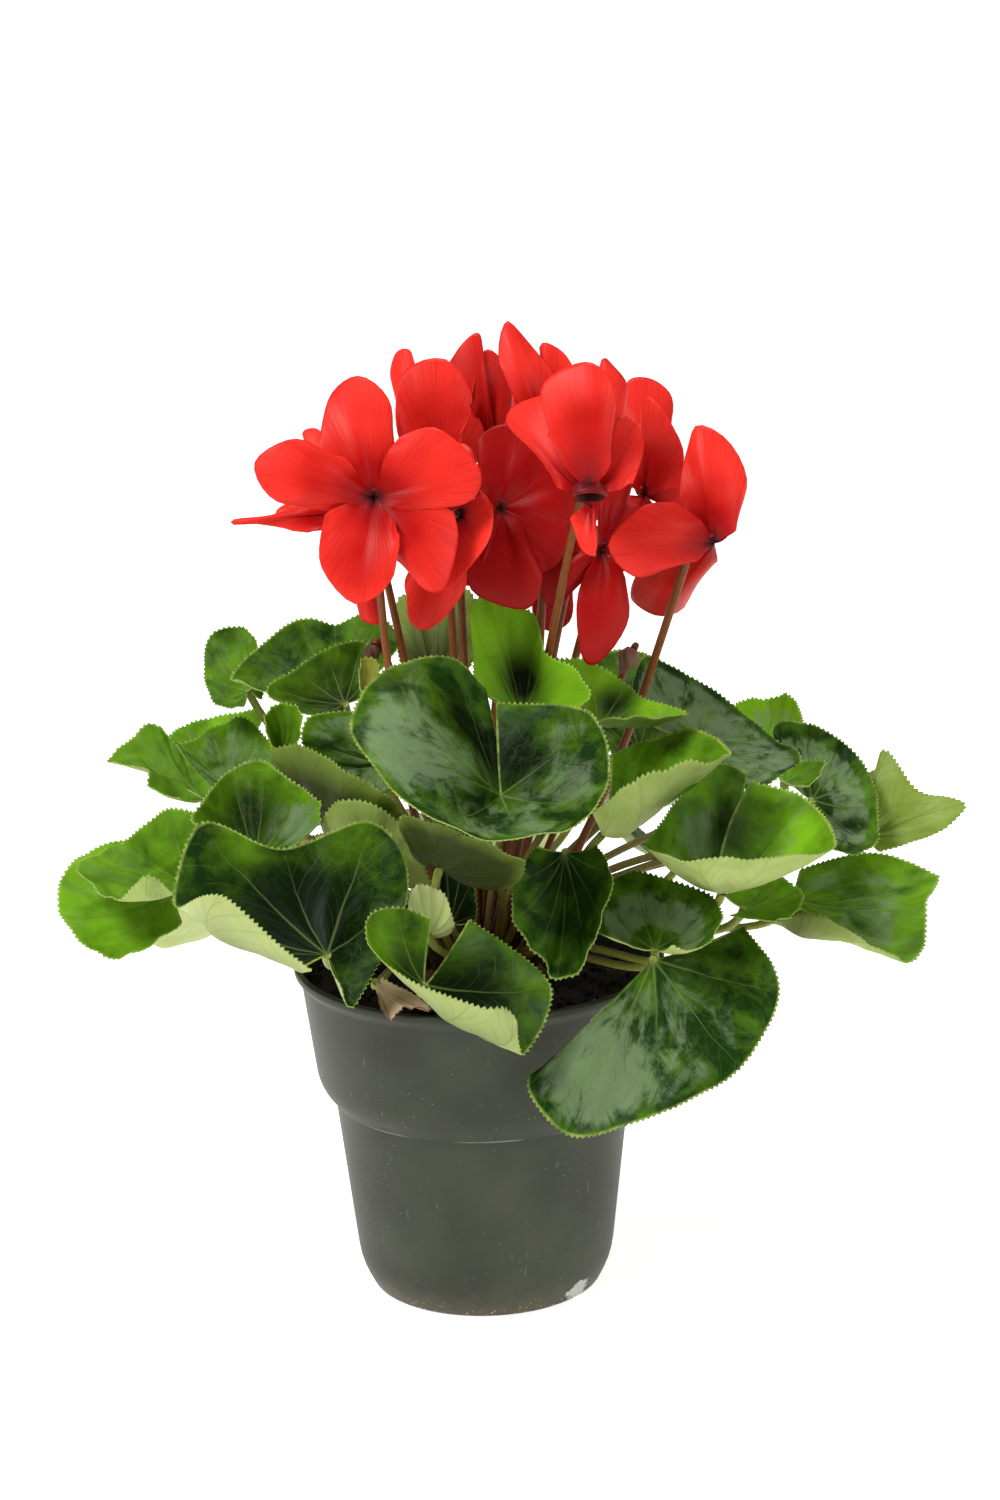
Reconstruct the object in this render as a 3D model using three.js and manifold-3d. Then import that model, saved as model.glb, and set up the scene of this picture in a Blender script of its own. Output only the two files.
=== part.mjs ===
// A potted florist's cyclamen: a plastic nursery pot, peat soil, a half-buried tuber whose leaf
// stalks and flower stalks grow from it as one body, separate leaf blades, blooms and buds.
// Millimetres, +Z up. The origin is the middle of the pot's foot, on the surface it stands on,
// and the front of the plant faces -Y.
import * as THREE from "three";
import { mergeVertices } from "three/addons/utils/BufferGeometryUtils.js";
import Module from "manifold-3d";

// Pot: a 12 cm round nursery pot
const POT_HEIGHT = 110;
const RIM_RADIUS = 60;
const RIM_LIP_HEIGHT = 2.5;
const RIM_LIP_OVERHANG = 2.2;
const COLLAR_FOOT_HEIGHT = 73;
const COLLAR_FOOT_RADIUS = 53.6;
const COLLAR_ROUNDING = 1.3;
const SHOULDER_HEIGHT = 64.5;
const SHOULDER_RADIUS = 48;
const FOOT_RADIUS = 37.5;
const FOOT_ROUNDING = 4;
const FOOT_RING_WIDTH = 4;
const FOOT_BOSS_RADIUS = 8;
const DRAFT = 1;
const RIM_WIDTH = 2;
const POT_WALL = 1.6;
const INSIDE_FOOT_RADIUS = FOOT_RADIUS + 3 - POT_WALL;
const FLOOR_HEIGHT = 4;
const FLOOR_THICKNESS = 2;
const POT_SIDES = 34;
const DRAIN_RADIUS = 4;
const DRAIN_RING_RADIUS = 22;
const DRAIN_COUNT = 5;

// Soil and tuber
const CLEARANCE = 0.4;
const SOIL_TOP = 101;
const SOIL_CROWN = 2;
const SOIL_CROWN_OUTER = 38;
const SOIL_CROWN_INNER = 29;
const SOIL_UNEVENNESS = 1.1;
const SOIL_SIDES = 26;
const TUBER_RADIUS = 23;
const TUBER_TOP = 108;
const TUBER_BOTTOM = 88;
const CROWN_RADIUS = 19;

// Foliage and flowers
const BLADE_THICKNESS = 0.8;
const PETAL_THICKNESS = 0.75;
const TOOTH_DEPTH = 1.3;
const BLADE_CUP = 3.5;
const BLADE_CUP_SHARE = 0.12;
const LEAF_STALK_RADIUS = 1.5;
const FLOWER_STALK_RADIUS = 1.8;
const BUD_STALK_RADIUS = 1.4;
const LEAF_STALK_SIDES = 4;
const FLOWER_STALK_SIDES = 5;
const STALK_END_GAP = 0.5;
const FLOWER_END_GAP = 0.75;
const STALK_END_TAPER = 0.6;
const LEAF_STALK_RISE = 0.4;
const LEAF_STALK_ARRIVAL = 0.3;
const LONG_STALK = 80;
const THROAT_RADIUS = 3.6;
const TUBE_LENGTH = 7;
const FLOWER_HOOK = 18;
const BUD_HOOK = 12;

const COLOURS = {
  pot: [0x4b4d46, 0.55],
  soil: [0x1c1512, 0.95],
  stalk: [0x7d5a34, 0.5],
  leaf: [0x3f6a24, 0.5],
  youngLeaf: [0x84a53a, 0.5],
  witheredLeaf: [0xc9a58c, 0.8],
  petal: [0xd9251f, 0.45],
  bud: [0x8b4a44, 0.5],
};

// A place on the plant is written as it is seen from in front: x and y across a view 1000 wide
// and 1500 high, y down, and then how far it lies in front of the pot's axis, in millimetres.
const EYE = new THREE.Vector3(0, -1136, 496.7);
const VIEW_CENTRE = { x: 500, y: 750 };
const VIEW_LENGTH = 3700;
const EYE_TURN = THREE.MathUtils.degToRad(0.425);
const EYE_DIP = THREE.MathUtils.degToRad(15.63);
const EYE_ROLL = THREE.MathUtils.degToRad(1.4);
const UP = new THREE.Vector3(0, 0, 1);

const ahead = new THREE.Vector3(
  Math.sin(EYE_TURN) * Math.cos(EYE_DIP),
  Math.cos(EYE_TURN) * Math.cos(EYE_DIP),
  -Math.sin(EYE_DIP),
);
const rightward = new THREE.Vector3(Math.cos(EYE_TURN), -Math.sin(EYE_TURN), 0);
const upward = rightward.clone().cross(ahead);
rightward.applyAxisAngle(ahead, EYE_ROLL);
upward.applyAxisAngle(ahead, EYE_ROLL);

function seen([x, y, near]) {
  const ray = ahead
    .clone()
    .addScaledVector(rightward, (x - VIEW_CENTRE.x) / VIEW_LENGTH)
    .addScaledVector(upward, (VIEW_CENTRE.y - y) / VIEW_LENGTH);
  return EYE.clone().addScaledVector(ray, (-near - EYE.y) / ray.y);
}

// Each leaf has the place where its stalk meets it and nine places round its edge, at the tips
// of its main veins: counter-clockwise seen from its upper face, from one side of the notch at
// the stalk to the other. bend gives the middle of a vein, counted from 0, where the blade rolls.
// lean draws the stalk's lower half aside, in millimetres, where it has to pass another piece.
const LEAVES = {
  front_funnel: {
    size: "large",
    stalk: [500, 795, 55],
    lean: [20, 0, 0],
    edge: [[485, 690, 30], [450, 656, 32], [385, 668, 42], [351, 735, 66], [440, 822, 94],
      [540, 839, 92], [604, 795, 76], [594, 713, 50], [496, 702, 38]],
    bend: { 0: [498, 745, 39], 1: [470, 715, 36], 2: [432, 728, 62], 3: [425, 762, 74],
      8: [497, 748, 47] },
  },
  top_upright: {
    size: "large",
    stalk: [522, 722, 20],
    edge: [[545, 712, 32], [590, 702, 38], [580, 672, 28], [545, 650, 16], [538, 617, 8],
      [497, 597, 4], [471, 603, 12], [476, 680, 22], [500, 702, 24]],
  },
  top_right_wing: {
    stalk: [600, 722, 14],
    edge: [[572, 712, 22], [592, 718, 30], [622, 718, 32], [655, 716, 28], [688, 712, 20],
      [645, 697, 8], [626, 682, 0], [590, 660, -4], [556, 656, 2]],
  },
  right_top: {
    size: "large",
    stalk: [690, 738, -8],
    edge: [[672, 762, 4], [730, 790, 8], [770, 782, 5], [803, 760, -5], [770, 733, -18],
      [725, 697, -28], [685, 672, -30], [642, 655, -26], [628, 708, -12]],
  },
  right_top_back: {
    stalk: [765, 740, -42],
    edge: [[748, 745, -30], [778, 748, -28], [802, 735, -32], [800, 708, -48], [788, 693, -58],
      [770, 697, -62], [748, 698, -60], [733, 706, -54], [738, 728, -42]],
    size: "small",
  },
  right_back: {
    stalk: [812, 800, -4],
    edge: [[800, 845, 14], [840, 852, 18], [876, 846, 14], [879, 805, 0], [866, 765, -13],
      [840, 738, -22], [805, 721, -30], [772, 727, -30], [785, 775, -12]],
  },
  right_strip: {
    size: "small",
    stalk: [784, 783, 12],
    edge: [[778, 779, 11], [792, 785, 17], [808, 785, 20], [821, 774, 19], [826, 761, 14],
      [806, 760, 9], [792, 767, 7], [781, 774, 7], [777, 777, 8]],
  },
  far_right_pale: {
    stalk: [866, 838, -12],
    edge: [[850, 835, -20], [855, 790, -26], [874, 768, -24], [889, 751, -20], [918, 788, -10],
      [966, 803, -4], [946, 829, 0], [915, 842, -2], [880, 853, -6]],
  },
  right_low: {
    size: "large",
    stalk: [790, 900, 25],
    edge: [[765, 926, 38], [803, 911, 46], [842, 926, 48], [893, 958, 50], [922, 953, 44],
      [930, 900, 26], [937, 873, 12], [870, 852, 6], [800, 868, 12]],
    bend: { 1: [800, 937, 46], 2: [850, 943, 52] },
  },
  right_small: {
    stalk: [744, 908, 42],
    edge: [[728, 915, 47], [768, 921, 50], [787, 918, 50], [800, 908, 45], [805, 897, 40],
      [798, 886, 34], [782, 879, 31], [762, 882, 31], [722, 893, 42]],
    size: "small",
  },
  right_cup: {
    size: "large",
    stalk: [722, 893, 45],
    edge: [[748, 772, 18], [715, 762, 20], [672, 805, 34], [648, 845, 54], [700, 859, 76],
      [770, 857, 76], [836, 842, 54], [808, 798, 30], [752, 778, 26]],
    bend: { 0: [735, 830, 24], 8: [724, 838, 38] },
  },
  right_folded: {
    stalk: [602, 835, 40],
    lean: [20, 0, 0],
    edge: [[592, 812, 50], [618, 792, 58], [640, 774, 60], [680, 765, 60], [722, 757, 50],
      [724, 742, 28], [690, 728, 16], [640, 741, 12], [608, 754, 22]],
    bend: { 1: [609, 822, 48], 2: [636, 825, 45], 3: [658, 812, 36], 4: [690, 788, 26] },
  },
  right_silver: {
    stalk: [655, 950, 62],
    edge: [[672, 945, 71], [700, 948, 74], [722, 925, 66], [714, 896, 50], [675, 880, 44],
      [630, 870, 40], [596, 893, 46], [593, 925, 54], [625, 943, 66]],
  },
  right_hanging: {
    size: "large",
    stalk: [653, 960, 64],
    edge: [[626, 988, 63], [597, 1015, 62], [566, 1065, 65], [526, 1086, 70], [572, 1137, 80],
      [660, 1115, 84], [741, 1068, 76], [781, 990, 62], [745, 924, 43]],
  },
  centre_folded: {
    stalk: [565, 852, 36],
    edge: [[535, 845, 34], [512, 885, 46], [514, 922, 56], [536, 955, 62], [556, 981, 66],
      [585, 962, 68], [603, 920, 64], [611, 872, 56], [598, 845, 42]],
  },
  band_centre: {
    stalk: [440, 868, 38],
    lean: [0, 0, -20],
    edge: [[408, 850, 46], [402, 815, 55], [440, 825, 64], [485, 840, 66], [526, 864, 58],
      [508, 889, 46], [492, 872, 40], [460, 855, 36], [422, 850, 40]],
  },
  band_left: {
    stalk: [345, 838, 15],
    edge: [[395, 825, 10], [370, 790, 2], [320, 775, -4], [288, 765, -4], [271, 751, 0],
      [300, 744, 10], [345, 768, 22], [385, 792, 28], [405, 812, 24]],
  },
  left_cup: {
    stalk: [255, 862, 24],
    edge: [[290, 846, 33], [319, 823, 29], [321, 803, 24], [300, 785, 16], [262, 759, 4],
      [228, 770, 4], [205, 795, 12], [193, 820, 24], [230, 838, 33]],
  },
  left_big: {
    size: "large",
    stalk: [327, 955, 62],
    edge: [[338, 982, 70], [357, 1003, 72], [410, 885, 48], [372, 820, 39], [282, 847, 43],
      [200, 822, 40], [173, 905, 56], [222, 896, 78], [314, 971, 80]],
    bend: { 7: [215, 938, 70], 8: [300, 971, 74] },
  },
  front_low: {
    size: "large",
    stalk: [425, 985, 66],
    edge: [[433, 918, 58], [395, 905, 58], [366, 920, 64], [385, 965, 74], [470, 1002, 86],
      [512, 1010, 84], [523, 1055, 82], [552, 985, 66], [470, 918, 46]],
    bend: { 4: [450, 1022, 82], 5: [500, 1045, 84] },
  },
  left_rolled: {
    stalk: [190, 885, 30],
    edge: [[197, 812, 18], [165, 808, 12], [128, 838, 6], [100, 850, 8], [75, 868, 16],
      [98, 890, 34], [118, 899, 40], [148, 874, 46], [172, 892, 44]],
    bend: { 7: [150, 897, 44] },
  },
  far_left_low: {
    stalk: [172, 893, 12],
    edge: [[160, 845, -10], [125, 838, -12], [85, 852, -6], [59, 880, 4], [60, 915, 14],
      [85, 948, 24], [118, 957, 30], [155, 944, 32], [182, 922, 30]],
  },
  left_bright: {
    size: "small",
    stalk: [215, 760, -62],
    edge: [[240, 755, -58], [264, 712, -74], [232, 712, -80], [200, 719, -80], [175, 729, -74],
      [165, 742, -64], [175, 755, -56], [195, 765, -54], [222, 768, -54]],
  },
  left_small_cup: {
    size: "small",
    stalk: [283, 760, -7],
    edge: [[297, 745, 2], [301, 725, 1], [300, 707, -2], [288, 703, -5], [275, 703, -6],
      [266, 712, -5], [265, 728, -2], [270, 744, 1], [284, 750, 2]],
  },
  left_silver: {
    stalk: [385, 765, 12],
    edge: [[400, 750, 16], [385, 718, 8], [350, 711, 5], [308, 716, 8], [302, 745, 8],
      [335, 772, 6], [360, 786, 12], [385, 795, 18], [402, 785, 20]],
  },
  left_folded: {
    stalk: [205, 800, 2],
    edge: [[212, 785, -6], [195, 768, -12], [175, 743, -20], [152, 722, -28], [127, 741, -22],
      [107, 760, -14], [143, 769, 0], [150, 787, 6], [180, 799, 8]],
    bend: { 5: [152, 774, -8], 6: [172, 783, -2] },
  },
  left_grey: {
    stalk: [235, 790, -26],
    edge: [[285, 782, -18], [289, 764, -28], [271, 741, -40], [243, 716, -52], [212, 727, -52],
      [186, 742, -48], [165, 735, -44], [185, 775, -28], [215, 800, -16]],
  },
  back_left_bright: {
    stalk: [248, 690, -43],
    lean: [0, -20, 0],
    edge: [[262, 700, -37], [268, 670, -47], [257, 645, -59], [243, 626, -67], [210, 634, -65],
      [203, 672, -53], [211, 700, -41], [228, 708, -35], [243, 707, -33]],
  },
  back_left_dark: {
    stalk: [330, 690, -31],
    lean: [0, -20, 0],
    edge: [[375, 675, -30], [400, 640, -44], [375, 612, -58], [335, 622, -58], [300, 618, -58],
      [262, 642, -48], [230, 678, -32], [265, 690, -22], [305, 700, -21]],
  },
  back_left_cup: {
    stalk: [345, 704, -14],
    edge: [[368, 695, -16], [376, 665, -20], [362, 640, -26], [325, 648, -24], [295, 668, -20],
      [266, 686, -15], [275, 700, -12], [312, 717, -7], [348, 722, -7]],
  },
  back_centre_pale: {
    stalk: [435, 689, -50],
    edge: [[410, 686, -48], [396, 650, -56], [395, 610, -66], [410, 592, -70], [440, 598, -72],
      [465, 588, -70], [480, 610, -63], [478, 650, -54], [460, 686, -48]],
  },
  inner_left: {
    stalk: [375, 872, 26],
    edge: [[342, 862, 20], [322, 828, 22], [335, 801, 28], [372, 802, 31], [402, 825, 30],
      [420, 855, 28], [433, 886, 26], [422, 888, 18], [398, 880, 14]],
  },
  front_curled: {
    stalk: [428, 935, 38],
    edge: [[412, 928, 42], [407, 900, 48], [415, 884, 46], [430, 885, 42], [445, 893, 40],
      [452, 912, 42], [455, 925, 40], [448, 935, 36], [438, 938, 36]],
    size: "small",
  },
  inner_dark: {
    size: "small",
    stalk: [450, 925, 30],
    edge: [[463, 925, 32], [478, 915, 32], [474, 880, 28], [465, 850, 26], [442, 834, 24],
      [430, 840, 24], [434, 862, 26], [438, 890, 28], [441, 915, 30]],
  },
  back_right: {
    stalk: [640, 752, -48],
    edge: [[672, 750, -50], [682, 705, -70], [652, 657, -100], [615, 650, -108], [585, 655, -106],
      [570, 680, -92], [588, 722, -66], [610, 752, -50], [626, 764, -44]],
  },
  young: {
    size: "small",
    colour: "youngLeaf",
    stalk: [368, 704, 2],
    lean: [20, 0, 0],
    edge: [[375, 700, 3], [380, 685, 1], [379, 665, -1], [375, 657, -2], [368, 656, -2],
      [361, 658, -1], [359, 670, 1], [360, 688, 3], [363, 700, 4]],
  },
  withered: {
    size: "small",
    colour: "witheredLeaf",
    stalk: [376, 982, 50],
    lean: [0, 0, 20],
    edge: [[378, 990, 51], [382, 1008, 60], [392, 1021, 64], [402, 1008, 61], [415, 1009, 60],
      [432, 1009, 58], [415, 994, 52], [395, 984, 49], [381, 975, 47]],
  },
};

// Leaves on the side away from the front: direction round the pot, distance from its axis and
// height of the stalk's end, slope of the blade down and outwards, and length of its main vein.
const BACK_LEAVES = [
  { round: 36, out: 84, height: 124, slope: 30, length: 42 },
  { round: 64, out: 84, height: 142, slope: 30, length: 44 },
  { round: 92, out: 88, height: 122, slope: 32, length: 46 },
  { round: 120, out: 84, height: 142, slope: 30, length: 44 },
  { round: 139, out: 98, height: 114, slope: 42, length: 45 },
  { round: 84, out: 52, height: 167, slope: 14, length: 32 },
];
const VEIN_ANGLES = [-165, -125, -85, -42, 0, 42, 85, 125, 165];
const VEIN_SHARES = [0.5, 0.72, 0.84, 0.94, 1.04, 0.94, 0.84, 0.72, 0.5];
const BACK_LEAF_CUP = 0.18;
const BACK_LEAF_WAVE = 0.08;

// Each bloom has its mouth, the way it faces, and the places round the edge of each of its five
// petals: counter-clockwise as seen from in front, from one side of the petal's base to the other.
// open draws the petals' bases out to the rim of the throat, in millimetres, where one sees in.
// arrive is where a stalk that doesn't hook over the bloom comes up to it.
const BLOOMS = {
  front_left: {
    mouth: [374, 498, 30], faces: [0, -0.85, -0.5], lean: [-20, 0, 0],
    petals: [
      [[395, 448, 24], [389, 402, 16], [358, 376, 12], [330, 395, 16], [322, 445, 22]],
      [[328, 452, 28], [290, 440, 32], [254, 462, 34], [272, 497, 36], [325, 507, 34]],
      [[325, 515, 38], [320, 565, 42], [355, 604, 46], [392, 580, 46], [396, 535, 42]],
      [[398, 560, 38], [420, 586, 42], [443, 589, 42], [459, 540, 36], [454, 512, 32]],
      [[425, 508, 34], [470, 500, 32], [480, 468, 30], [440, 429, 26], [400, 437, 26]],
    ],
  },
  behind_left: {
    mouth: [345, 512, -14], faces: [-0.3, -0.6, -0.74],
    petals: [
      [[300, 504, -12], [265, 516, -10], [231, 523, -8], [262, 526, -8], [305, 531, -6]],
      [[322, 446, -24], [318, 431, -28], [303, 431, -28], [306, 445, -24], [320, 470, -20]],
      [[364, 606, -4], [362, 620, -2], [370, 624, 0], [380, 622, -2], [383, 603, -6]],
      [[372, 440, -20], [360, 415, -24], [340, 410, -26], [325, 430, -24], [330, 460, -18]],
      [[318, 500, -18], [292, 503, -16], [276, 514, -14], [290, 521, -12], [318, 522, -11]],
    ],
  },
  top_left: {
    mouth: [440, 478, -8], faces: [0, -0.8, -0.6],
    petals: [
      [[461, 432, -6], [473, 396, -12], [445, 360, -16], [403, 373, -14], [395, 425, -4]],
      [[417, 366, -30], [410, 351, -32], [396, 354, -32], [389, 372, -30], [398, 392, -26]],
      [[480, 460, -20], [482, 430, -28], [470, 405, -32], [455, 420, -26], [450, 450, -18]],
      [[392, 500, -6], [385, 530, -4], [402, 548, -4], [420, 540, -4], [430, 510, -6]],
      [[445, 520, -8], [450, 552, -6], [466, 560, -6], [478, 545, -6], [470, 505, -8]],
    ],
  },
  top_back: {
    mouth: [490, 452, -32], faces: [0.1, -0.7, -0.7], lean: [20, 0, 0],
    petals: [
      [[477, 395, -33], [484, 354, -37], [478, 333, -40], [460, 347, -38], [447, 365, -36]],
      [[505, 428, -34], [514, 392, -38], [500, 360, -40], [484, 351, -38], [472, 396, -30]],
      [[530, 440, -46], [530, 410, -52], [515, 395, -54], [500, 410, -50], [500, 435, -44]],
      [[475, 480, -30], [480, 520, -24], [500, 532, -22], [515, 515, -24], [510, 480, -28]],
      [[455, 460, -34], [440, 425, -38], [450, 405, -40], [465, 410, -38], [478, 435, -34]],
    ],
  },
  top_middle: {
    mouth: [548, 440, -12], faces: [0.1, -0.8, -0.6], lean: [20, 20, 0],
    petals: [
      [[562, 392, -16], [541, 358, -20], [508, 320, -22], [500, 358, -18], [514, 400, -10]],
      [[580, 380, -26], [565, 352, -30], [543, 344, -30], [546, 368, -28], [556, 395, -22]],
      [[600, 430, -26], [605, 395, -30], [590, 370, -32], [570, 380, -28], [565, 410, -22]],
      [[515, 402, -8], [504, 424, -4], [500, 448, -2], [520, 462, -2], [540, 455, -6]],
      [[550, 480, -12], [560, 510, -12], [585, 512, -14], [590, 485, -16], [575, 455, -16]],
    ],
  },
  centre: {
    mouth: [590, 497, 42], faces: [0, -0.85, -0.5], lean: [0, 20, 0], open: 3,
    petals: [
      [[610, 445, 42], [611, 385, 38], [585, 361, 36], [543, 385, 34], [550, 432, 40]],
      [[628, 482, 40], [644, 450, 34], [640, 430, 30], [620, 417, 28], [611, 440, 32]],
      [[545, 395, 22], [520, 402, 20], [508, 420, 20], [527, 447, 26], [553, 472, 34]],
      [[570, 520, 46], [580, 545, 48], [592, 556, 50], [597, 551, 50], [591, 518, 46]],
      [[624, 410, 10], [625, 383, 6], [612, 362, 4], [603, 362, 4], [606, 395, 12]],
    ],
  },
  back_right: {
    mouth: [645, 495, -22], faces: [0.2, -0.7, -0.7],
    petals: [
      [[674, 484, -10], [684, 452, -12], [664, 412, -14], [648, 396, -16], [642, 406, -18],
        [656, 440, -16]],
      [[671, 425, -34], [670, 395, -38], [652, 378, -40], [628, 382, -38], [622, 410, -32]],
      [[668, 480, -20], [664, 450, -24], [645, 425, -28], [625, 440, -26], [622, 475, -22]],
      [[615, 500, -22], [612, 525, -18], [630, 545, -14], [655, 540, -14], [660, 515, -18]],
      [[690, 520, -26], [700, 490, -34], [690, 462, -38], [676, 470, -34], [668, 500, -28]],
    ],
  },
  right: {
    mouth: [714, 543, 18], faces: [0.5, -0.7, -0.5], lean: [16, 24, -10],
    arrive: [676, 570, 16],
    petals: [
      [[737, 522, 14], [748, 482, 10], [728, 443, 6], [697, 425, 4], [685, 452, 6],
        [680, 487, 12]],
      [[674, 503, 18], [640, 509, 22], [608, 545, 26], [636, 577, 26], [682, 556, 22]],
      [[640, 575, -16], [632, 600, -18], [655, 616, -20], [684, 604, -20], [697, 562, -14]],
      [[730, 520, -6], [745, 490, -12], [735, 462, -18], [718, 462, -18], [712, 500, -8]],
      [[708, 505, 0], [704, 470, -8], [692, 455, -10], [684, 480, -8], [690, 512, 0]],
    ],
  },
  middle_left: {
    mouth: [462, 515, 14], faces: [0.1, -0.7, -0.7],
    petals: [
      [[443, 572, 30], [443, 590, 32], [470, 567, 32], [490, 540, 30], [492, 510, 26],
        [482, 490, 20]],
      [[409, 585, 24], [408, 615, 24], [423, 630, 26], [445, 618, 26], [461, 588, 22]],
      [[474, 482, 6], [472, 452, 0], [460, 442, -2], [446, 456, 2], [448, 490, 6]],
      [[425, 590, 14], [411, 600, 12], [405, 580, 12], [415, 560, 12], [440, 545, 14]],
      [[430, 570, 4], [428, 600, 2], [442, 612, 0], [456, 600, 2], [460, 560, 6]],
    ],
  },
  inner: {
    mouth: [500, 508, 6], faces: [-0.2, -0.75, -0.6],
    petals: [
      [[550, 470, 4], [545, 435, 0], [510, 424, -2], [478, 440, 2], [478, 485, 6]],
      [[560, 545, 10], [578, 510, 8], [572, 478, 4], [550, 458, 2], [520, 470, 4]],
      [[505, 560, 14], [530, 573, 14], [556, 566, 12], [570, 540, 10], [560, 515, 8]],
      [[464, 560, 16], [475, 594, 18], [526, 610, 18], [541, 580, 16], [535, 555, 12]],
      [[462, 530, 14], [460, 560, 16], [466, 585, 16], [480, 575, 16], [488, 540, 12]],
    ],
  },
  hanging: {
    mouth: [602, 550, 8], faces: [0.3, -0.6, -0.74],
    petals: [
      [[578, 610, 14], [583, 659, 16], [601, 662, 16], [626, 622, 14], [625, 580, 10]],
      [[618, 575, 6], [640, 560, 4], [650, 530, 0], [640, 505, -2], [612, 510, 2]],
      [[630, 500, -4], [636, 470, -8], [615, 462, -8], [600, 485, -2], [604, 520, 4]],
      [[574, 532, 4], [562, 508, 0], [552, 505, 0], [546, 525, 2], [560, 548, 6]],
      [[560, 556, 2], [540, 575, 4], [543, 600, 6], [560, 605, 6], [580, 580, 6]],
    ],
  },
  back_low: {
    mouth: [556, 540, -44], faces: [0, 0.7, -0.7],
    petals: [
      [[535, 590, -40], [535, 620, -40], [552, 632, -40], [570, 620, -40], [572, 590, -40]],
      [[530, 520, -52], [508, 535, -58], [496, 562, -62], [512, 585, -56], [535, 575, -48]],
      [[570, 570, -50], [590, 588, -60], [604, 565, -68], [595, 535, -64], [575, 520, -52]],
      [[560, 500, -54], [552, 460, -64], [530, 438, -70], [510, 465, -66], [525, 505, -54]],
      [[600, 510, -62], [612, 465, -74], [592, 438, -80], [570, 460, -76], [566, 500, -60]],
    ],
  },
};

// Flower buds, pointed and furled, each hanging from its hooked stalk: neck, tip and girth.
const BUDS = {
  right: { neck: [633, 650, -16], tip: [620, 674, -12], radius: 3.4, lean: [0, 30, 0] },
  left: { neck: [374, 646, -14], tip: [368, 666, -11], radius: 2.6, lean: [0, 10, 0] },
};

const wasm = await Module();
wasm.setup();

function toSolid(geometry) {
  const bare = geometry.index ? geometry.toNonIndexed() : geometry.clone();
  bare.deleteAttribute("normal");
  bare.deleteAttribute("uv");
  const merged = mergeVertices(bare, 1e-4);
  return new wasm.Manifold(
    new wasm.Mesh({
      numProp: 3,
      vertProperties: merged.attributes.position.array,
      triVerts: new Uint32Array(merged.index.array),
    }),
  );
}

function toGeometry(solid) {
  const mesh = solid.getMesh();
  const geometry = new THREE.BufferGeometry();
  geometry.setAttribute("position", new THREE.BufferAttribute(mesh.vertProperties, 3));
  geometry.setIndex(new THREE.BufferAttribute(mesh.triVerts, 1));
  geometry.computeVertexNormals();
  return geometry;
}

// The largest body of a solid: hollows sealed between its stalks or petals are filled.
function oneBody(solid) {
  return solid.decompose().reduce((most, body) => (body.volume() > most.volume() ? body : most));
}

const plant = new THREE.Group();

function addPiece(name, geometry, colour) {
  const [hex, roughness] = COLOURS[colour];
  const material = new THREE.MeshStandardMaterial({ color: hex, roughness, metalness: 0 });
  material.side = THREE.DoubleSide;
  const mesh = new THREE.Mesh(geometry, material);
  mesh.name = name;
  plant.add(mesh);
}

// A lathe turns about Y, so it is stood up on Z.
function turned(profile, sides) {
  const points = profile.map(([radius, height]) => new THREE.Vector2(radius, height));
  return new THREE.LatheGeometry(points, sides).rotateX(Math.PI / 2);
}

function makePot() {
  const profile = [
    [0, 0],
    [FOOT_BOSS_RADIUS, 0],
    [FOOT_BOSS_RADIUS + DRAFT, FLOOR_HEIGHT],
    [FOOT_RADIUS - FOOT_RING_WIDTH - DRAFT, FLOOR_HEIGHT],
    [FOOT_RADIUS - FOOT_RING_WIDTH, 0],
    [FOOT_RADIUS, 0],
    [FOOT_RADIUS + FOOT_ROUNDING / 2, FOOT_ROUNDING / 2],
    [FOOT_RADIUS + FOOT_ROUNDING, 2 * FOOT_ROUNDING],
    [SHOULDER_RADIUS, SHOULDER_HEIGHT],
    [COLLAR_FOOT_RADIUS - COLLAR_ROUNDING, COLLAR_FOOT_HEIGHT - 3 * COLLAR_ROUNDING],
    [COLLAR_FOOT_RADIUS, COLLAR_FOOT_HEIGHT],
    [RIM_RADIUS - RIM_LIP_OVERHANG, POT_HEIGHT - 2 * RIM_LIP_HEIGHT],
    [RIM_RADIUS, POT_HEIGHT - RIM_LIP_HEIGHT],
    [RIM_RADIUS, POT_HEIGHT],
    [RIM_RADIUS - RIM_WIDTH, POT_HEIGHT],
    [COLLAR_FOOT_RADIUS - POT_WALL, COLLAR_FOOT_HEIGHT],
    [SHOULDER_RADIUS - POT_WALL, SHOULDER_HEIGHT],
    [INSIDE_FOOT_RADIUS, FLOOR_HEIGHT + FLOOR_THICKNESS],
    [0, FLOOR_HEIGHT + FLOOR_THICKNESS],
  ];
  let pot = toSolid(turned(profile, POT_SIDES));
  for (let i = 0; i < DRAIN_COUNT; i += 1) {
    const turn = (i * 2 * Math.PI) / DRAIN_COUNT;
    const drill = new THREE.CylinderGeometry(DRAIN_RADIUS, DRAIN_RADIUS, 20, 8)
      .rotateX(Math.PI / 2)
      .translate(DRAIN_RING_RADIUS * Math.cos(turn), DRAIN_RING_RADIUS * Math.sin(turn), 5);
    pot = pot.subtract(toSolid(drill));
  }
  addPiece("pot", toGeometry(pot), "pot");
}

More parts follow.
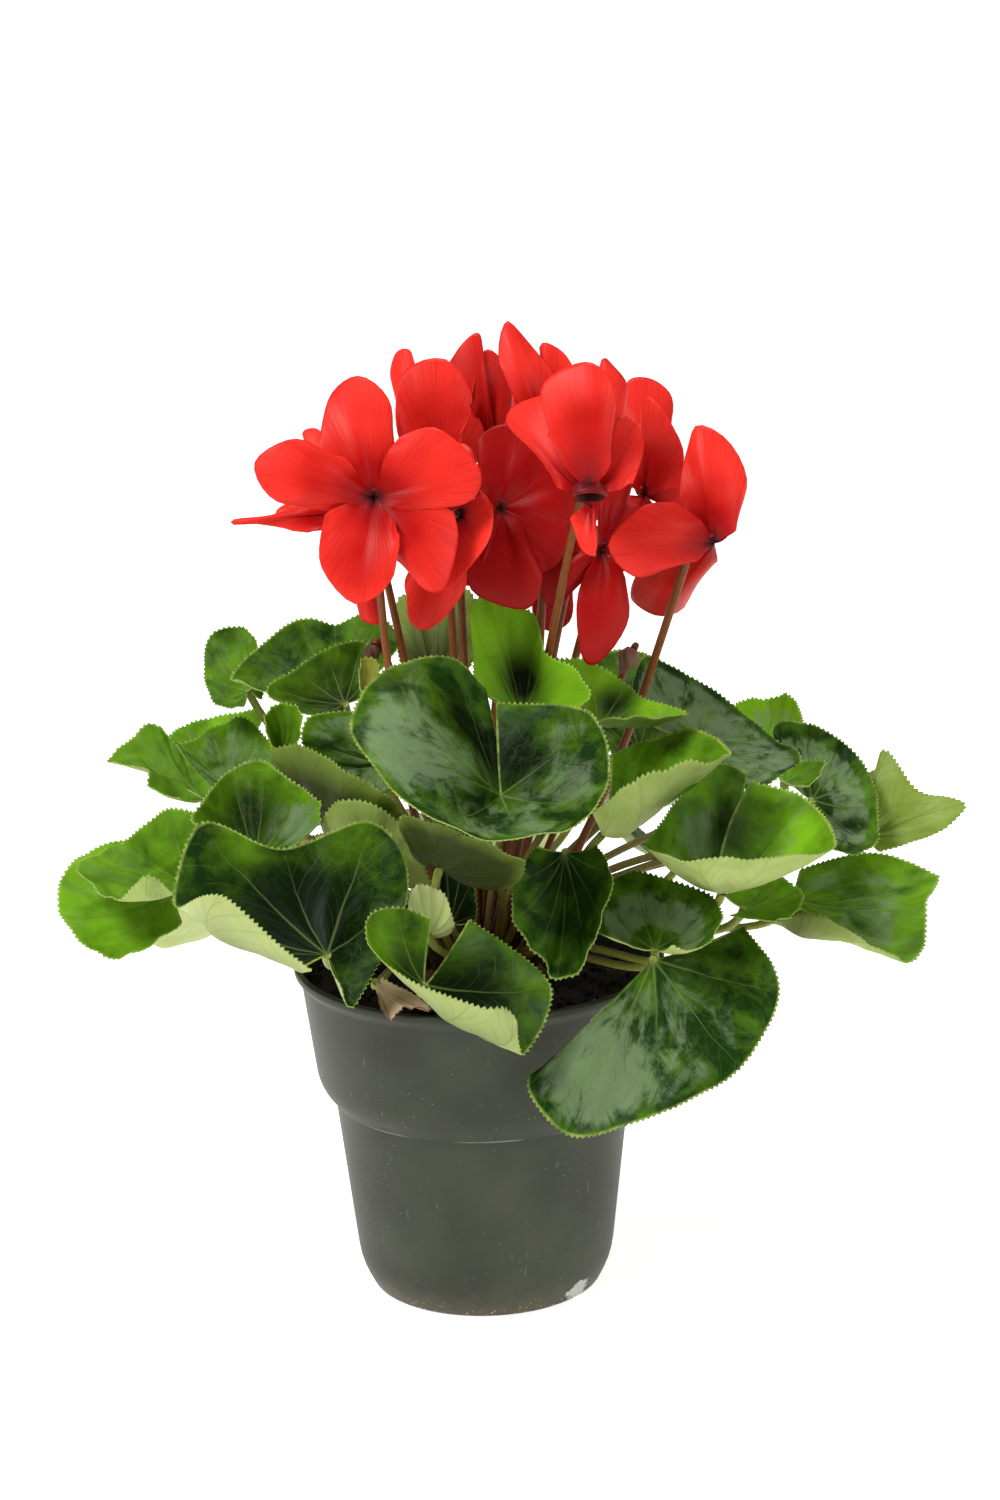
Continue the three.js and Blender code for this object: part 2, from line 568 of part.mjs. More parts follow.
// The inside radius of the pot at a height between its floor and its rim.
function potInside(height) {
  const steps = [
    [FLOOR_HEIGHT + FLOOR_THICKNESS, INSIDE_FOOT_RADIUS],
    [SHOULDER_HEIGHT, SHOULDER_RADIUS - POT_WALL],
    [COLLAR_FOOT_HEIGHT, COLLAR_FOOT_RADIUS - POT_WALL],
    [POT_HEIGHT, RIM_RADIUS - RIM_WIDTH],
  ];
  const above = Math.max(1, steps.findIndex(([top]) => top >= height));
  const [lowHeight, lowRadius] = steps[above - 1];
  const [topHeight, topRadius] = steps[above];
  return THREE.MathUtils.mapLinear(height, lowHeight, topHeight, lowRadius, topRadius);
}

function makeSoil() {
  const bottom = FLOOR_HEIGHT + FLOOR_THICKNESS + CLEARANCE;
  const edge = (height) => potInside(height) - 2 * CLEARANCE;
  const hollow = TUBER_RADIUS + CLEARANCE;
  const profile = [
    [0, bottom],
    [edge(bottom), bottom],
    [edge(SHOULDER_HEIGHT), SHOULDER_HEIGHT],
    [edge(COLLAR_FOOT_HEIGHT) - 0.5, COLLAR_FOOT_HEIGHT],
    [edge(SOIL_TOP), SOIL_TOP],
    [SOIL_CROWN_OUTER + 10, SOIL_TOP + SOIL_CROWN / 4],
    [SOIL_CROWN_OUTER, SOIL_TOP + SOIL_CROWN],
    [SOIL_CROWN_INNER, SOIL_TOP + SOIL_CROWN],
    [hollow, SOIL_TOP + SOIL_CROWN / 2],
    [hollow, TUBER_BOTTOM - CLEARANCE],
    [0, TUBER_BOTTOM - CLEARANCE],
  ];
  const geometry = turned(profile, SOIL_SIDES);
  const place = geometry.attributes.position;
  for (let i = 0; i < place.count; i += 1) {
    const [x, y, z] = [place.getX(i), place.getY(i), place.getZ(i)];
    const open = z > SOIL_TOP + 0.2 && Math.hypot(x, y) > hollow + 2;
    const uneven = Math.sin(0.31 * x + 1) * Math.cos(0.27 * y);
    if (open) place.setZ(i, z + SOIL_UNEVENNESS * uneven);
  }
  addPiece("soil", toGeometry(toSolid(geometry)), "soil");
}

// A thin closed sheet: both faces have the same triangles, half the thickness to each side of
// the points, and a band joins them along the border, which runs counter-clockwise.
function thickSheet(points, faces, border, thickness) {
  const normals = points.map(() => new THREE.Vector3());
  for (const [a, b, c] of faces) {
    const across = points[b].clone().sub(points[a]);
    const turn = across.cross(points[c].clone().sub(points[a]));
    for (const corner of [a, b, c]) normals[corner].add(turn);
  }
  const count = points.length;
  const places = [];
  for (const side of [thickness / 2, -thickness / 2]) {
    points.forEach((point, i) => {
      const offset = normals[i].clone().normalize().multiplyScalar(side);
      places.push(...point.clone().add(offset).toArray());
    });
  }
  const corners = [];
  for (const [a, b, c] of faces) corners.push(a, b, c, count + a, count + c, count + b);
  border.forEach((from, i) => {
    const to = border[(i + 1) % border.length];
    corners.push(from, count + from, count + to, from, count + to, to);
  });
  const geometry = new THREE.BufferGeometry();
  geometry.setAttribute("position", new THREE.Float32BufferAttribute(places, 3));
  geometry.setIndex(corners);
  return { geometry, normals };
}

// A smooth curve through four neighbouring places, between the second and the third.
function between(places, at) {
  const last = places.length - 1;
  const start = Math.min(Math.floor(at), last - 1);
  const [before, from, to, after] = [-1, 0, 1, 2].map(
    (step) => places[THREE.MathUtils.clamp(start + step, 0, last)],
  );
  const t = at - start;
  const blend = (p, q, r, s) =>
    0.5 * (2 * q + (r - p) * t + (2 * p - 5 * q + 4 * r - s) * t * t
      + (3 * q - p - 3 * r + s) * t * t * t);
  return new THREE.Vector3(
    blend(before.x, from.x, to.x, after.x),
    blend(before.y, from.y, to.y, after.y),
    blend(before.z, from.z, to.z, after.z),
  );
}

const BEND_AT = 0.55;

// A place on a fan of curved veins: across says which vein, along how far out on it.
function fanPlace({ centre, edge, middles, bendAt }, across, along) {
  const atCentre = ((along - bendAt) * (along - 1)) / bendAt;
  const atMiddle = (along * (along - 1)) / (bendAt * (bendAt - 1));
  const atTip = (along * (along - bendAt)) / (1 - bendAt);
  return new THREE.Vector3()
    .addScaledVector(centre, atCentre)
    .addScaledVector(between(middles, across), atMiddle)
    .addScaledVector(between(edge, across), atTip);
}

function bladeForm(leaf) {
  const centre = leaf.stalk;
  const upper = new THREE.Vector3();
  leaf.edge.forEach((tip, i) => {
    if (i === 0) return;
    const before = leaf.edge[i - 1].clone().sub(centre);
    upper.add(before.cross(tip.clone().sub(centre)));
  });
  upper.normalize();
  const middles = leaf.edge.map((tip, i) => {
    if (leaf.bend && leaf.bend[i]) return leaf.bend[i];
    const cup = Math.min(BLADE_CUP, BLADE_CUP_SHARE * centre.distanceTo(tip));
    return centre.clone().lerp(tip, BEND_AT).addScaledVector(upper, -cup);
  });
  return { centre, edge: leaf.edge, middles, bendAt: BEND_AT };
}

const RINGS = [0.36, 0.72, 1];
const FIRST_RING = { small: 3, middle: 5, large: 6 };

function makeBlade(name, leaf) {
  const form = bladeForm(leaf);
  const firstCount = FIRST_RING[leaf.size ?? "middle"];
  const veins = leaf.edge.length - 1;
  const points = [leaf.stalk.clone()];
  const rings = RINGS.map((along, ring) => {
    const count = firstCount * 2 ** ring;
    const start = points.length;
    for (let i = 0; i <= count; i += 1) {
      const across = (i * veins) / count;
      const reach = fanPlace(form, across, 1).distanceTo(leaf.stalk);
      const notch = ring === 2 && i % 2 === 1 ? TOOTH_DEPTH / reach : 0;
      points.push(fanPlace(form, across, along - notch));
    }
    return { start, count };
  });
  const faces = [];
  const [inner, middle, outer] = rings;
  for (let i = 0; i < inner.count; i += 1) faces.push([0, inner.start + i, inner.start + i + 1]);
  for (const [near, far] of [[inner, middle], [middle, outer]]) {
    for (let i = 0; i < near.count; i += 1) {
      const a = near.start + i;
      const c = far.start + 2 * i;
      faces.push([a, c, c + 1], [a, c + 1, a + 1], [a + 1, c + 1, c + 2]);
    }
  }
  const rim = Array.from({ length: outer.count + 1 }, (_, i) => outer.start + i);
  const border = [
    0, inner.start, middle.start, ...rim, middle.start + middle.count, inner.start + inner.count,
  ];
  const sheet = thickSheet(points, faces, border, BLADE_THICKNESS);
  addPiece(`leaf_${name}`, sheet.geometry, leaf.colour ?? "leaf");
  return sheet.normals[0].clone().normalize();
}

function placedLeaf(spec) {
  const leaf = { ...spec, stalk: seen(spec.stalk), edge: spec.edge.map(seen) };
  if (spec.bend) {
    leaf.bend = Object.fromEntries(Object.entries(spec.bend).map(([i, at]) => [i, seen(at)]));
  }
  return leaf;
}

function backLeaf({ round, out, height, slope, length }) {
  const angle = THREE.MathUtils.degToRad(round);
  const outward = new THREE.Vector3(Math.cos(angle), Math.sin(angle), 0);
  const sideways = UP.clone().cross(outward);
  const stalk = outward.clone().multiplyScalar(out).setZ(height);
  const fall = THREE.MathUtils.degToRad(slope);
  const downhill = outward.clone().multiplyScalar(Math.cos(fall)).addScaledVector(UP, -Math.sin(fall));
  const upper = outward.clone().multiplyScalar(Math.sin(fall)).addScaledVector(UP, Math.cos(fall));
  const edge = VEIN_ANGLES.map((degrees, i) => {
    const turn = THREE.MathUtils.degToRad(degrees);
    const reach = length * VEIN_SHARES[i];
    const wave = BACK_LEAF_CUP + BACK_LEAF_WAVE * Math.sin(2.5 * i + round);
    return stalk
      .clone()
      .addScaledVector(downhill, reach * Math.cos(turn))
      .addScaledVector(sideways, reach * Math.sin(turn))
      .addScaledVector(upper, reach * wave);
  });
  return { stalk, edge };
}

// The curve of a stalk, with its cross sections closer together towards the end, where it bends.
class StalkCurve extends THREE.CubicBezierCurve3 {
  getUtoTmapping(u, distance) {
    return super.getUtoTmapping(1 - (1 - u) ** 1.8, distance);
  }
}

// A stalk is a round rod along a curve from inside the tuber, drawn in to a point at its end.
function rod(points, radius, sides, steps) {
  const curve = new StalkCurve(...points);
  const end = points[3];
  const section = new THREE.Shape();
  for (let i = 0; i < sides; i += 1) {
    const turn = (i * 2 * Math.PI) / sides;
    const [x, y] = [radius * Math.cos(turn), radius * Math.sin(turn)];
    if (i === 0) section.moveTo(x, y);
    else section.lineTo(x, y);
  }
  section.closePath();
  const geometry = new THREE.ExtrudeGeometry(section, {
    steps, bevelEnabled: false, extrudePath: curve,
  });
  const place = geometry.attributes.position;
  const corner = new THREE.Vector3();
  for (let i = 0; i < place.count; i += 1) {
    corner.fromBufferAttribute(place, i);
    if (corner.distanceTo(end) > radius * 1.05) continue;
    corner.lerp(end, STALK_END_TAPER);
    place.setXYZ(i, corner.x, corner.y, corner.z);
  }
  return geometry;
}

const stalks = [];

// Stalks leave the tuber's crown towards where they go, the ones that lean most at its rim.
function rootAt(target) {
  const away = Math.atan2(target.y, target.x);
  const lean = Math.atan2(Math.hypot(target.x, target.y), target.z - TUBER_TOP);
  const uneven = ((stalks.length * 0.618) % 1) - 0.5;
  const spread = CROWN_RADIUS * Math.min(1, (2 * lean) / Math.PI) + 3 * uneven;
  return new THREE.Vector3(spread * Math.cos(away), spread * Math.sin(away), TUBER_TOP - 5);
}

function leaning(place, lean) {
  return lean ? place.add(new THREE.Vector3(...lean)) : place;
}

function addLeafStalk(leaf, normal) {
  const under = BLADE_THICKNESS / 2 + STALK_END_GAP;
  const end = leaf.stalk.clone().addScaledVector(normal, -under);
  const root = rootAt(end);
  const span = root.distanceTo(end);
  const rise = leaning(root.clone().addScaledVector(UP, LEAF_STALK_RISE * span), leaf.lean);
  const arrive = end.clone().addScaledVector(normal, -LEAF_STALK_ARRIVAL * span);
  const steps = span > LONG_STALK ? 4 : 3;
  stalks.push(rod([root, rise, arrive, end], LEAF_STALK_RADIUS, LEAF_STALK_SIDES, steps));
}

// A petal is a fan from the throat: its middle bows towards the front and its sides fall back.
const PETAL_BEND_AT = 0.5;
const PETAL_BOW = 0.11;
const PETAL_FIRST_RING = 0.5;
const PETAL_COLUMNS = 6;

function petalForm(mouth, open, edge) {
  const middleTip = edge[Math.floor(edge.length / 2)];
  const lengthwise = middleTip.clone().sub(mouth);
  const centre = mouth.clone().addScaledVector(lengthwise.clone().normalize(), open);
  const toEye = EYE.clone().sub(centre).normalize();
  const last = edge.length - 1;
  const middles = edge.map((tip, i) => {
    const bow = PETAL_BOW * lengthwise.length() * Math.sin((Math.PI * (i + 0.5)) / (last + 1));
    return centre.clone().lerp(tip, PETAL_BEND_AT).addScaledVector(toEye, bow);
  });
  return { centre, edge, middles, bendAt: PETAL_BEND_AT };
}

function petalSheet(form) {
  const last = form.edge.length - 1;
  const points = [form.centre];
  const [near, far] = [PETAL_FIRST_RING, 1].map((along, ring) => {
    const count = PETAL_COLUMNS / (2 - ring);
    const start = points.length;
    for (let i = 0; i <= count; i += 1) points.push(fanPlace(form, (i * last) / count, along));
    return { start, count };
  });
  const faces = [];
  for (let i = 0; i < near.count; i += 1) {
    const a = near.start + i;
    const c = far.start + 2 * i;
    faces.push([0, a, a + 1], [a, c, c + 1], [a, c + 1, a + 1], [a + 1, c + 1, c + 2]);
  }
  const rim = Array.from({ length: far.count + 1 }, (_, i) => far.start + i);
  const border = [0, near.start, ...rim, near.start + near.count];
  return thickSheet(points, faces, border, PETAL_THICKNESS).geometry;
}

function along(axis) {
  return new THREE.Quaternion().setFromUnitVectors(UP, axis);
}

// The corolla's short tube, hollow at the mouth where one sees in.
function tubeSolid(mouth, axis, open) {
  const r = THROAT_RADIUS;
  const profile = [[0, -TUBE_LENGTH], [r, -0.6 * TUBE_LENGTH], [r, -1], [0.7 * r, 0.3]];
  profile.push(open ? [0, -0.5 * TUBE_LENGTH] : [0, 0.3]);
  const geometry = turned(profile, 6).applyQuaternion(along(axis));
  return toSolid(geometry.translate(...mouth.toArray()));
}

function makeBloom(name, spec) {
  const mouth = seen(spec.mouth);
  const axis = new THREE.Vector3(...spec.faces).normalize();
  const open = spec.open ?? 0;
  let bloom = tubeSolid(mouth, axis, open);
  for (const petal of spec.petals) {
    bloom = bloom.add(toSolid(petalSheet(petalForm(mouth, open, petal.map(seen)))));
  }
  addPiece(`bloom_${name}`, toGeometry(oneBody(bloom)), "petal");
  const back = mouth.clone().addScaledVector(axis, -TUBE_LENGTH - FLOWER_END_GAP);
  const root = rootAt(back);
  const rise = leaning(root.clone().lerp(back, 0.4), spec.lean);
  const hook = back.clone().addScaledVector(axis, -FLOWER_HOOK);
  const arrive = spec.arrive ? seen(spec.arrive) : hook;
  stalks.push(rod([root, rise, arrive, back], FLOWER_STALK_RADIUS, FLOWER_STALK_SIDES, 5));
}

function makeBud(name, { neck, tip, radius, lean }) {
  const from = seen(neck);
  const axis = seen(tip).sub(from);
  const length = axis.length();
  axis.normalize();
  const profile = [[0, 0], [radius * 0.8, 1], [radius, length * 0.35], [0, length]];
  const geometry = turned(profile, 8).applyQuaternion(along(axis)).translate(...from.toArray());
  addPiece(`bud_${name}`, toGeometry(toSolid(geometry)), "bud");
  const back = from.clone().addScaledVector(axis, -STALK_END_GAP);
  const root = rootAt(back);
  const rise = leaning(root.clone().lerp(back, 0.4), lean);
  const arrive = back.clone().addScaledVector(axis, -BUD_HOOK);
  stalks.push(rod([root, rise, arrive, back], BUD_STALK_RADIUS, FLOWER_STALK_SIDES, 5));
}

function makeTuber() {
  const middle = (TUBER_TOP + TUBER_BOTTOM) / 2;
  const profile = [
    [0, TUBER_BOTTOM], [TUBER_RADIUS * 0.7, TUBER_BOTTOM + 2], [TUBER_RADIUS, middle + 2],
    [TUBER_RADIUS * 0.9, TUBER_TOP - 3], [TUBER_RADIUS * 0.5, TUBER_TOP], [0, TUBER_TOP],
  ];
  let tuber = toSolid(turned(profile, 16));
  for (const stalk of stalks) tuber = tuber.add(toSolid(stalk));
  addPiece("tuber_with_stalks", toGeometry(oneBody(tuber)), "stalk");
}

makePot();
makeSoil();
for (const [name, spec] of Object.entries(LEAVES)) {
  const leaf = placedLeaf(spec);
  addLeafStalk(leaf, makeBlade(name, leaf));
}
BACK_LEAVES.forEach((spec, i) => {
  const leaf = backLeaf(spec);
  addLeafStalk(leaf, makeBlade(`back_${i + 1}`, leaf));
});
for (const [name, spec] of Object.entries(BLOOMS)) makeBloom(name, spec);
for (const [name, spec] of Object.entries(BUDS)) makeBud(name, spec);
makeTuber();

export default plant;
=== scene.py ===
import math

import bmesh
import bpy
import numpy as np
from mathutils import Matrix, Vector


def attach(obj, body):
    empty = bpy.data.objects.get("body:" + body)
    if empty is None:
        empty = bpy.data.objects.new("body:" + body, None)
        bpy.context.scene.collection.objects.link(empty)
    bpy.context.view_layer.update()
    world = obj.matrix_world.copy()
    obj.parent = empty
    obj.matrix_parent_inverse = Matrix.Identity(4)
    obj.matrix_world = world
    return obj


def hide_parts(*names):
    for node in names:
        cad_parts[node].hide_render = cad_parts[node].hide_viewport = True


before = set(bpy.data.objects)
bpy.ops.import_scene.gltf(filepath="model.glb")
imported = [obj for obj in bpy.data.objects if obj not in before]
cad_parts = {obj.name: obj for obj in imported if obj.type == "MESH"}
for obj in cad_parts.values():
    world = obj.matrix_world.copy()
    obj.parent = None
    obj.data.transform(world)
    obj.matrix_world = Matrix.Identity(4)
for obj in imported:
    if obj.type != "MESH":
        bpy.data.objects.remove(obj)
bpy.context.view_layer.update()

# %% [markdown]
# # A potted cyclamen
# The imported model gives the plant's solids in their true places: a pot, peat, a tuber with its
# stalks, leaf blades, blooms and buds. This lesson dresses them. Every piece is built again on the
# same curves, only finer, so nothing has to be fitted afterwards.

MM = 0.001
UP = np.array([0.0, 0.0, 1.0])


def new_object(name, data):
    """An object in the scene."""
    made = bpy.data.objects.new(name, data)
    bpy.context.scene.collection.objects.link(made)
    return made


# %% [markdown]
# ## The camera
# The photograph looks down on the plant from a metre away through a long lens. A place on the
# plant is noted as it is seen in that view, 1000 wide and 1500 high with y down, and then by how
# far it lies in front of the pot's axis in millimetres. One function turns such places to metres.

# %% The camera and the places it sees
EYE = np.array([0.0, -1.136, 0.4967])
EYE_TURN, EYE_DIP, EYE_ROLL = math.radians(0.425), math.radians(15.63), math.radians(1.4)
VIEW_CENTRE = np.array([500, 750])
VIEW_HEIGHT, VIEW_LENGTH = 1500, 3700
SENSOR = 36
CLIP_NEAR, CLIP_FAR = 0.05, 60

AHEAD = Vector((math.sin(EYE_TURN) * math.cos(EYE_DIP),
                math.cos(EYE_TURN) * math.cos(EYE_DIP), -math.sin(EYE_DIP)))
level = Vector((math.cos(EYE_TURN), -math.sin(EYE_TURN), 0))
roll = Matrix.Rotation(EYE_ROLL, 3, AHEAD)
RIGHTWARD = roll @ level
UPWARD = roll @ level.cross(AHEAD)


def seen(places):
    """Points in metres for places of the view, each as (x, y, millimetres nearer than the axis)."""
    x, y, near = np.array(places, float).reshape(-1, 3).T
    ray = np.outer((x - VIEW_CENTRE[0]) / VIEW_LENGTH, RIGHTWARD)
    ray = ray + np.outer((VIEW_CENTRE[1] - y) / VIEW_LENGTH, UPWARD) + np.array(AHEAD)
    return EYE + ray * ((-near * MM - EYE[1]) / ray[:, 1])[:, None]


lens = bpy.data.cameras.new("camera")
lens.sensor_width = SENSOR
lens.lens = SENSOR * VIEW_LENGTH / VIEW_HEIGHT
lens.clip_start, lens.clip_end = CLIP_NEAR, CLIP_FAR
camera = new_object("camera", lens)
axes = Matrix((RIGHTWARD, UPWARD, -AHEAD)).transposed()
camera.matrix_world = Matrix.Translation(EYE) @ axes.to_4x4()
bpy.context.scene.camera = camera
print("lens", round(lens.lens, 1), "mm")

# %% [markdown]
# ## Helpers for meshes
# Every surface here is a grid of points: rings of a pot, veins of a leaf, rows of a petal. Numpy
# works out whole grids at once, which keeps the script quick. Values that a finish needs later,
# such as how far a point lies from the stalk, are stored on the mesh as named attributes.

# %% Meshes from grids
def grid_faces(rows, columns, ring=False):
    """Four-cornered faces between the rows of a grid; ring also joins the last column to the first."""
    row, column = np.meshgrid(np.arange(rows - 1), np.arange(columns - (not ring)), indexing="ij")
    after = (column + 1) % columns
    corners = [row * columns + column, (row + 1) * columns + column,
               (row + 1) * columns + after, row * columns + after]
    return np.stack(corners, -1).reshape(-1, 4).tolist()


def joined(parts):
    """Points, faces, marks and face kinds of several such parts as those of one mesh."""
    points, faces, marks, kinds = [], [], [], []
    for part_points, part_faces, part_marks, part_kinds in parts:
        start = sum(len(p) for p in points)
        faces += [[start + corner for corner in face] for face in part_faces]
        kinds += np.broadcast_to(part_kinds, len(part_faces)).tolist()
        marks.append(np.broadcast_to(part_marks, part_points.shape).reshape(-1, 3))
        points.append(part_points.reshape(-1, 3))
    return np.vstack(points), faces, np.vstack(marks), kinds


def new_piece(name, points, faces, materials, nodes, marks=None, kinds=None):
    """A smooth mesh object in its nodes' place, with point attributes and face materials."""
    mesh = bpy.data.meshes.new(name)
    mesh.from_pydata(np.asarray(points).reshape(-1, 3).tolist(), [], faces)
    for mark, values in (marks or {}).items():
        made = mesh.attributes.new(mark, "FLOAT_VECTOR", "POINT")
        made.data.foreach_set("vector", np.asarray(values, np.float32).ravel())
    for material in materials:
        mesh.materials.append(material)
    if kinds is not None:
        mesh.polygons.foreach_set("material_index", kinds)
    mesh.shade_smooth()
    piece = new_object(name, mesh)
    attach(piece, "root")
    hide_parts(*nodes)
    return piece


def thicken(piece, thickness, material_offset=0, rim_offset=0):
    """Gives a thin surface its thickness, half to each side, with its own back and rim materials."""
    skin = piece.modifiers.new("thickness", "SOLIDIFY")
    skin.thickness, skin.offset = thickness, 0
    skin.material_offset, skin.material_offset_rim = material_offset, rim_offset


def lengths(vectors):
    return np.linalg.norm(vectors, axis=-1, keepdims=True)


def unit(vectors):
    return vectors / np.maximum(lengths(vectors), 1e-12)


def full_turn(steps):
    """Angles of evenly spaced steps round a circle."""
    return np.linspace(0, 2 * np.pi, steps, endpoint=False)


def grid_normals(grid):
    down, across = np.gradient(grid, axis=0), np.gradient(grid, axis=1)
    return unit(np.cross(down, across))


def smooth_between(places, at):
    """A smooth curve through places, at positions counted from 0."""
    last = len(places) - 1
    start = np.clip(np.floor(at).astype(int), 0, last - 1)
    t = (at - start)[:, None]
    p, q, r, s = (places[np.clip(start + step, 0, last)] for step in (-1, 0, 1, 2))
    return 0.5 * (2 * q + (r - p) * t + (2 * p - 5 * q + 4 * r - s) * t ** 2
                  + (3 * q - p - 3 * r + s) * t ** 3)


def lathe_grid(profile, sides, mouth=(0, 0, 0), axis=UP, shape=1):
    """A profile of (radius, height) in metres, turned about the axis at the mouth."""
    across = unit(np.cross(axis, (0.3, 0.9, 0.1)))
    upward = np.cross(axis, across)
    turn = full_turn(sides)
    spokes = (np.outer(np.cos(turn), across) + np.outer(np.sin(turn), upward)) * shape
    return np.array([mouth + axis * height + spokes * radius for radius, height in profile])


print("mesh helpers ready")

# %% [markdown]
# ## Helpers for finishes
# Colours are written as sRGB hex, as a paint chart would give them, and one function turns them
# to the linear values that a shader needs. One more function adds a node with its settings, its
# fixed socket values and its links. The share with which a mark shows is mapped from a pattern by
# four numbers: from which value, to which value, and the share at the first and at the second.

# %% Colours and nodes
def linear(hex_colour):
    parts = [int(hex_colour[i:i + 2], 16) / 255 for i in (0, 2, 4)]
    return [c / 12.92 if c <= 0.04045 else ((c + 0.055) / 1.055) ** 2.4 for c in parts] + [1]


def add(tree, kind, sockets=(), **settings):
    """A new node. Its sockets are filled in order or by name, each with a value, a node or a socket."""
    made = tree.nodes.new("ShaderNode" + kind)
    for setting, value in settings.items():
        setattr(made, setting, value)
    live = [socket for socket in made.inputs if socket.enabled]
    for key, value in (sockets.items() if isinstance(sockets, dict) else enumerate(sockets)):
        socket = live[key] if isinstance(key, int) else made.inputs[key]
        if isinstance(value, bpy.types.Node):
            value = next(output for output in value.outputs if output.enabled)
        if isinstance(value, bpy.types.NodeSocket):
            tree.links.new(value, socket)
        else:
            socket.default_value = value
    return made


def new_material(name):
    """A new material, its node tree, and the place on the plant that its patterns follow."""
    material = bpy.data.materials.new(name)
    material.use_nodes = True
    tree = material.node_tree
    tree.nodes.clear()
    return material, tree, add(tree, "TexCoord").outputs["Object"]


def finish(tree, colour, bump, surface, through=0, lit=None):
    """Ends a material: its surface, and the share of light that comes through it from behind."""
    shader = add(tree, "BsdfPrincipled", {"Base Color": colour, "Normal": bump, **surface})
    if through:
        behind = add(tree, "BsdfTranslucent", [lit or colour, bump])
        shader = add(tree, "MixShader", [through, shader, behind])
    add(tree, "OutputMaterial", [shader])


print("leaf green in linear light:", [round(c, 3) for c in linear("3f6a1e")])

# %% [markdown]
# ## Floor and light
# The photograph was taken on a glowing white table, so the ground is white to the edge of the
# picture. A large soft lamp stands above in front on the left, weaker ones on the right and behind.
# The rest of the light comes evenly from a dim white world, which leaves the inner foliage dark.

# %% Floor, lamps and world
FLOOR_RADIUS, FLOOR_SIDES, FLOOR_GAP = 14, 96, 0.2 * MM
# the glow from half a metre to three metres out
GLOW = (0.5, 3.0, 0.74, 0.88)
WORLD_LIGHT = 0.16
AIM = Vector((0, 0, 0.18))
# place in metres, width in metres and power in watts of each lamp
LAMPS = {
    "lamp_left": ((-1.0, -0.9, 1.7), 0.8, 38),
    "lamp_right": ((1.4, -0.9, 0.9), 1.0, 11),
    "lamp_above": ((0.1, 0.4, 1.7), 0.8, 14),
}

floor_mesh = bpy.data.meshes.new("floor")
disc = bmesh.new()
bmesh.ops.create_circle(disc, cap_ends=True, segments=FLOOR_SIDES, radius=FLOOR_RADIUS)
disc.to_mesh(floor_mesh)
disc.free()
floor = new_object("floor", floor_mesh)
floor.location.z = -FLOOR_GAP
paper, tree, place = new_material("white_paper")
far = add(tree, "VectorMath", [place], operation="LENGTH").outputs["Value"]
glow = add(tree, "MapRange", [far, *GLOW], interpolation_type="SMOOTHSTEP")
shader = add(tree, "BsdfPrincipled", {"Base Color": linear("f4f4f2"), "Roughness": 0.9,
                                      "IOR": 1.45, "Specular IOR Level": 0.2,
                                      "Emission Color": linear("ffffff"), "Emission Strength": glow})
add(tree, "OutputMaterial", [shader])
floor_mesh.materials.append(paper)

for name, (place, size, power) in LAMPS.items():
    light = bpy.data.lights.new(name, "AREA")
    light.shape, light.size, light.energy = "DISK", size, power
    lamp = new_object(name, light)
    lamp.location = place
    lamp.rotation_euler = (AIM - Vector(place)).to_track_quat("-Z", "Y").to_euler()

world = bpy.data.worlds.new("white_tent")
world.use_nodes = True
background = world.node_tree.nodes["Background"]
background.inputs["Color"].default_value = (1, 1, 1, 1)
background.inputs["Strength"].default_value = WORLD_LIGHT
bpy.context.scene.world = world
bpy.context.scene.view_settings.view_transform = "Standard"
print("lamps:", list(LAMPS))

# %% [markdown]
# ## The finish of a leaf
# A cyclamen blade is waxy and deep green, marbled with silver between a dark middle and a green
# margin. Pale veins fan out from the stalk, branch, and meet in a fine net. Light also passes
# through a blade, so a share of the surface is translucent. Each blade carries two attributes:
# "fan" gives the vein number, how far out on it a point lies, and the width in metres between two
# veins there; "paint" gives how fresh green, how silver and how shaded the blade is at the point.

# %% Where the veins of a blade run
VEIN_WIDTH, VEIN_TAPER = 0.75 * MM, 1.15
VEIN_WANDER, WANDER_SIZE = 0.3, 50 / 3 * MM
BRANCHES, BRANCH_SLANT, BRANCH_SHARE = 6.0, 0.8, 0.07
NET_SIZE, NET_SWAY = 4.5 * MM, 8 * MM
NET_LINE, NET_BREAKS = (0.0, 0.09, 1.0, 0.0), (0.45, 0.65, 0.0, 1.0)
# a ping-pong by a half gives how far a number is from the nearest whole one
HALFWAY = 0.5
LAST_VEIN, MIDDLE_VEIN = 8, 4.0


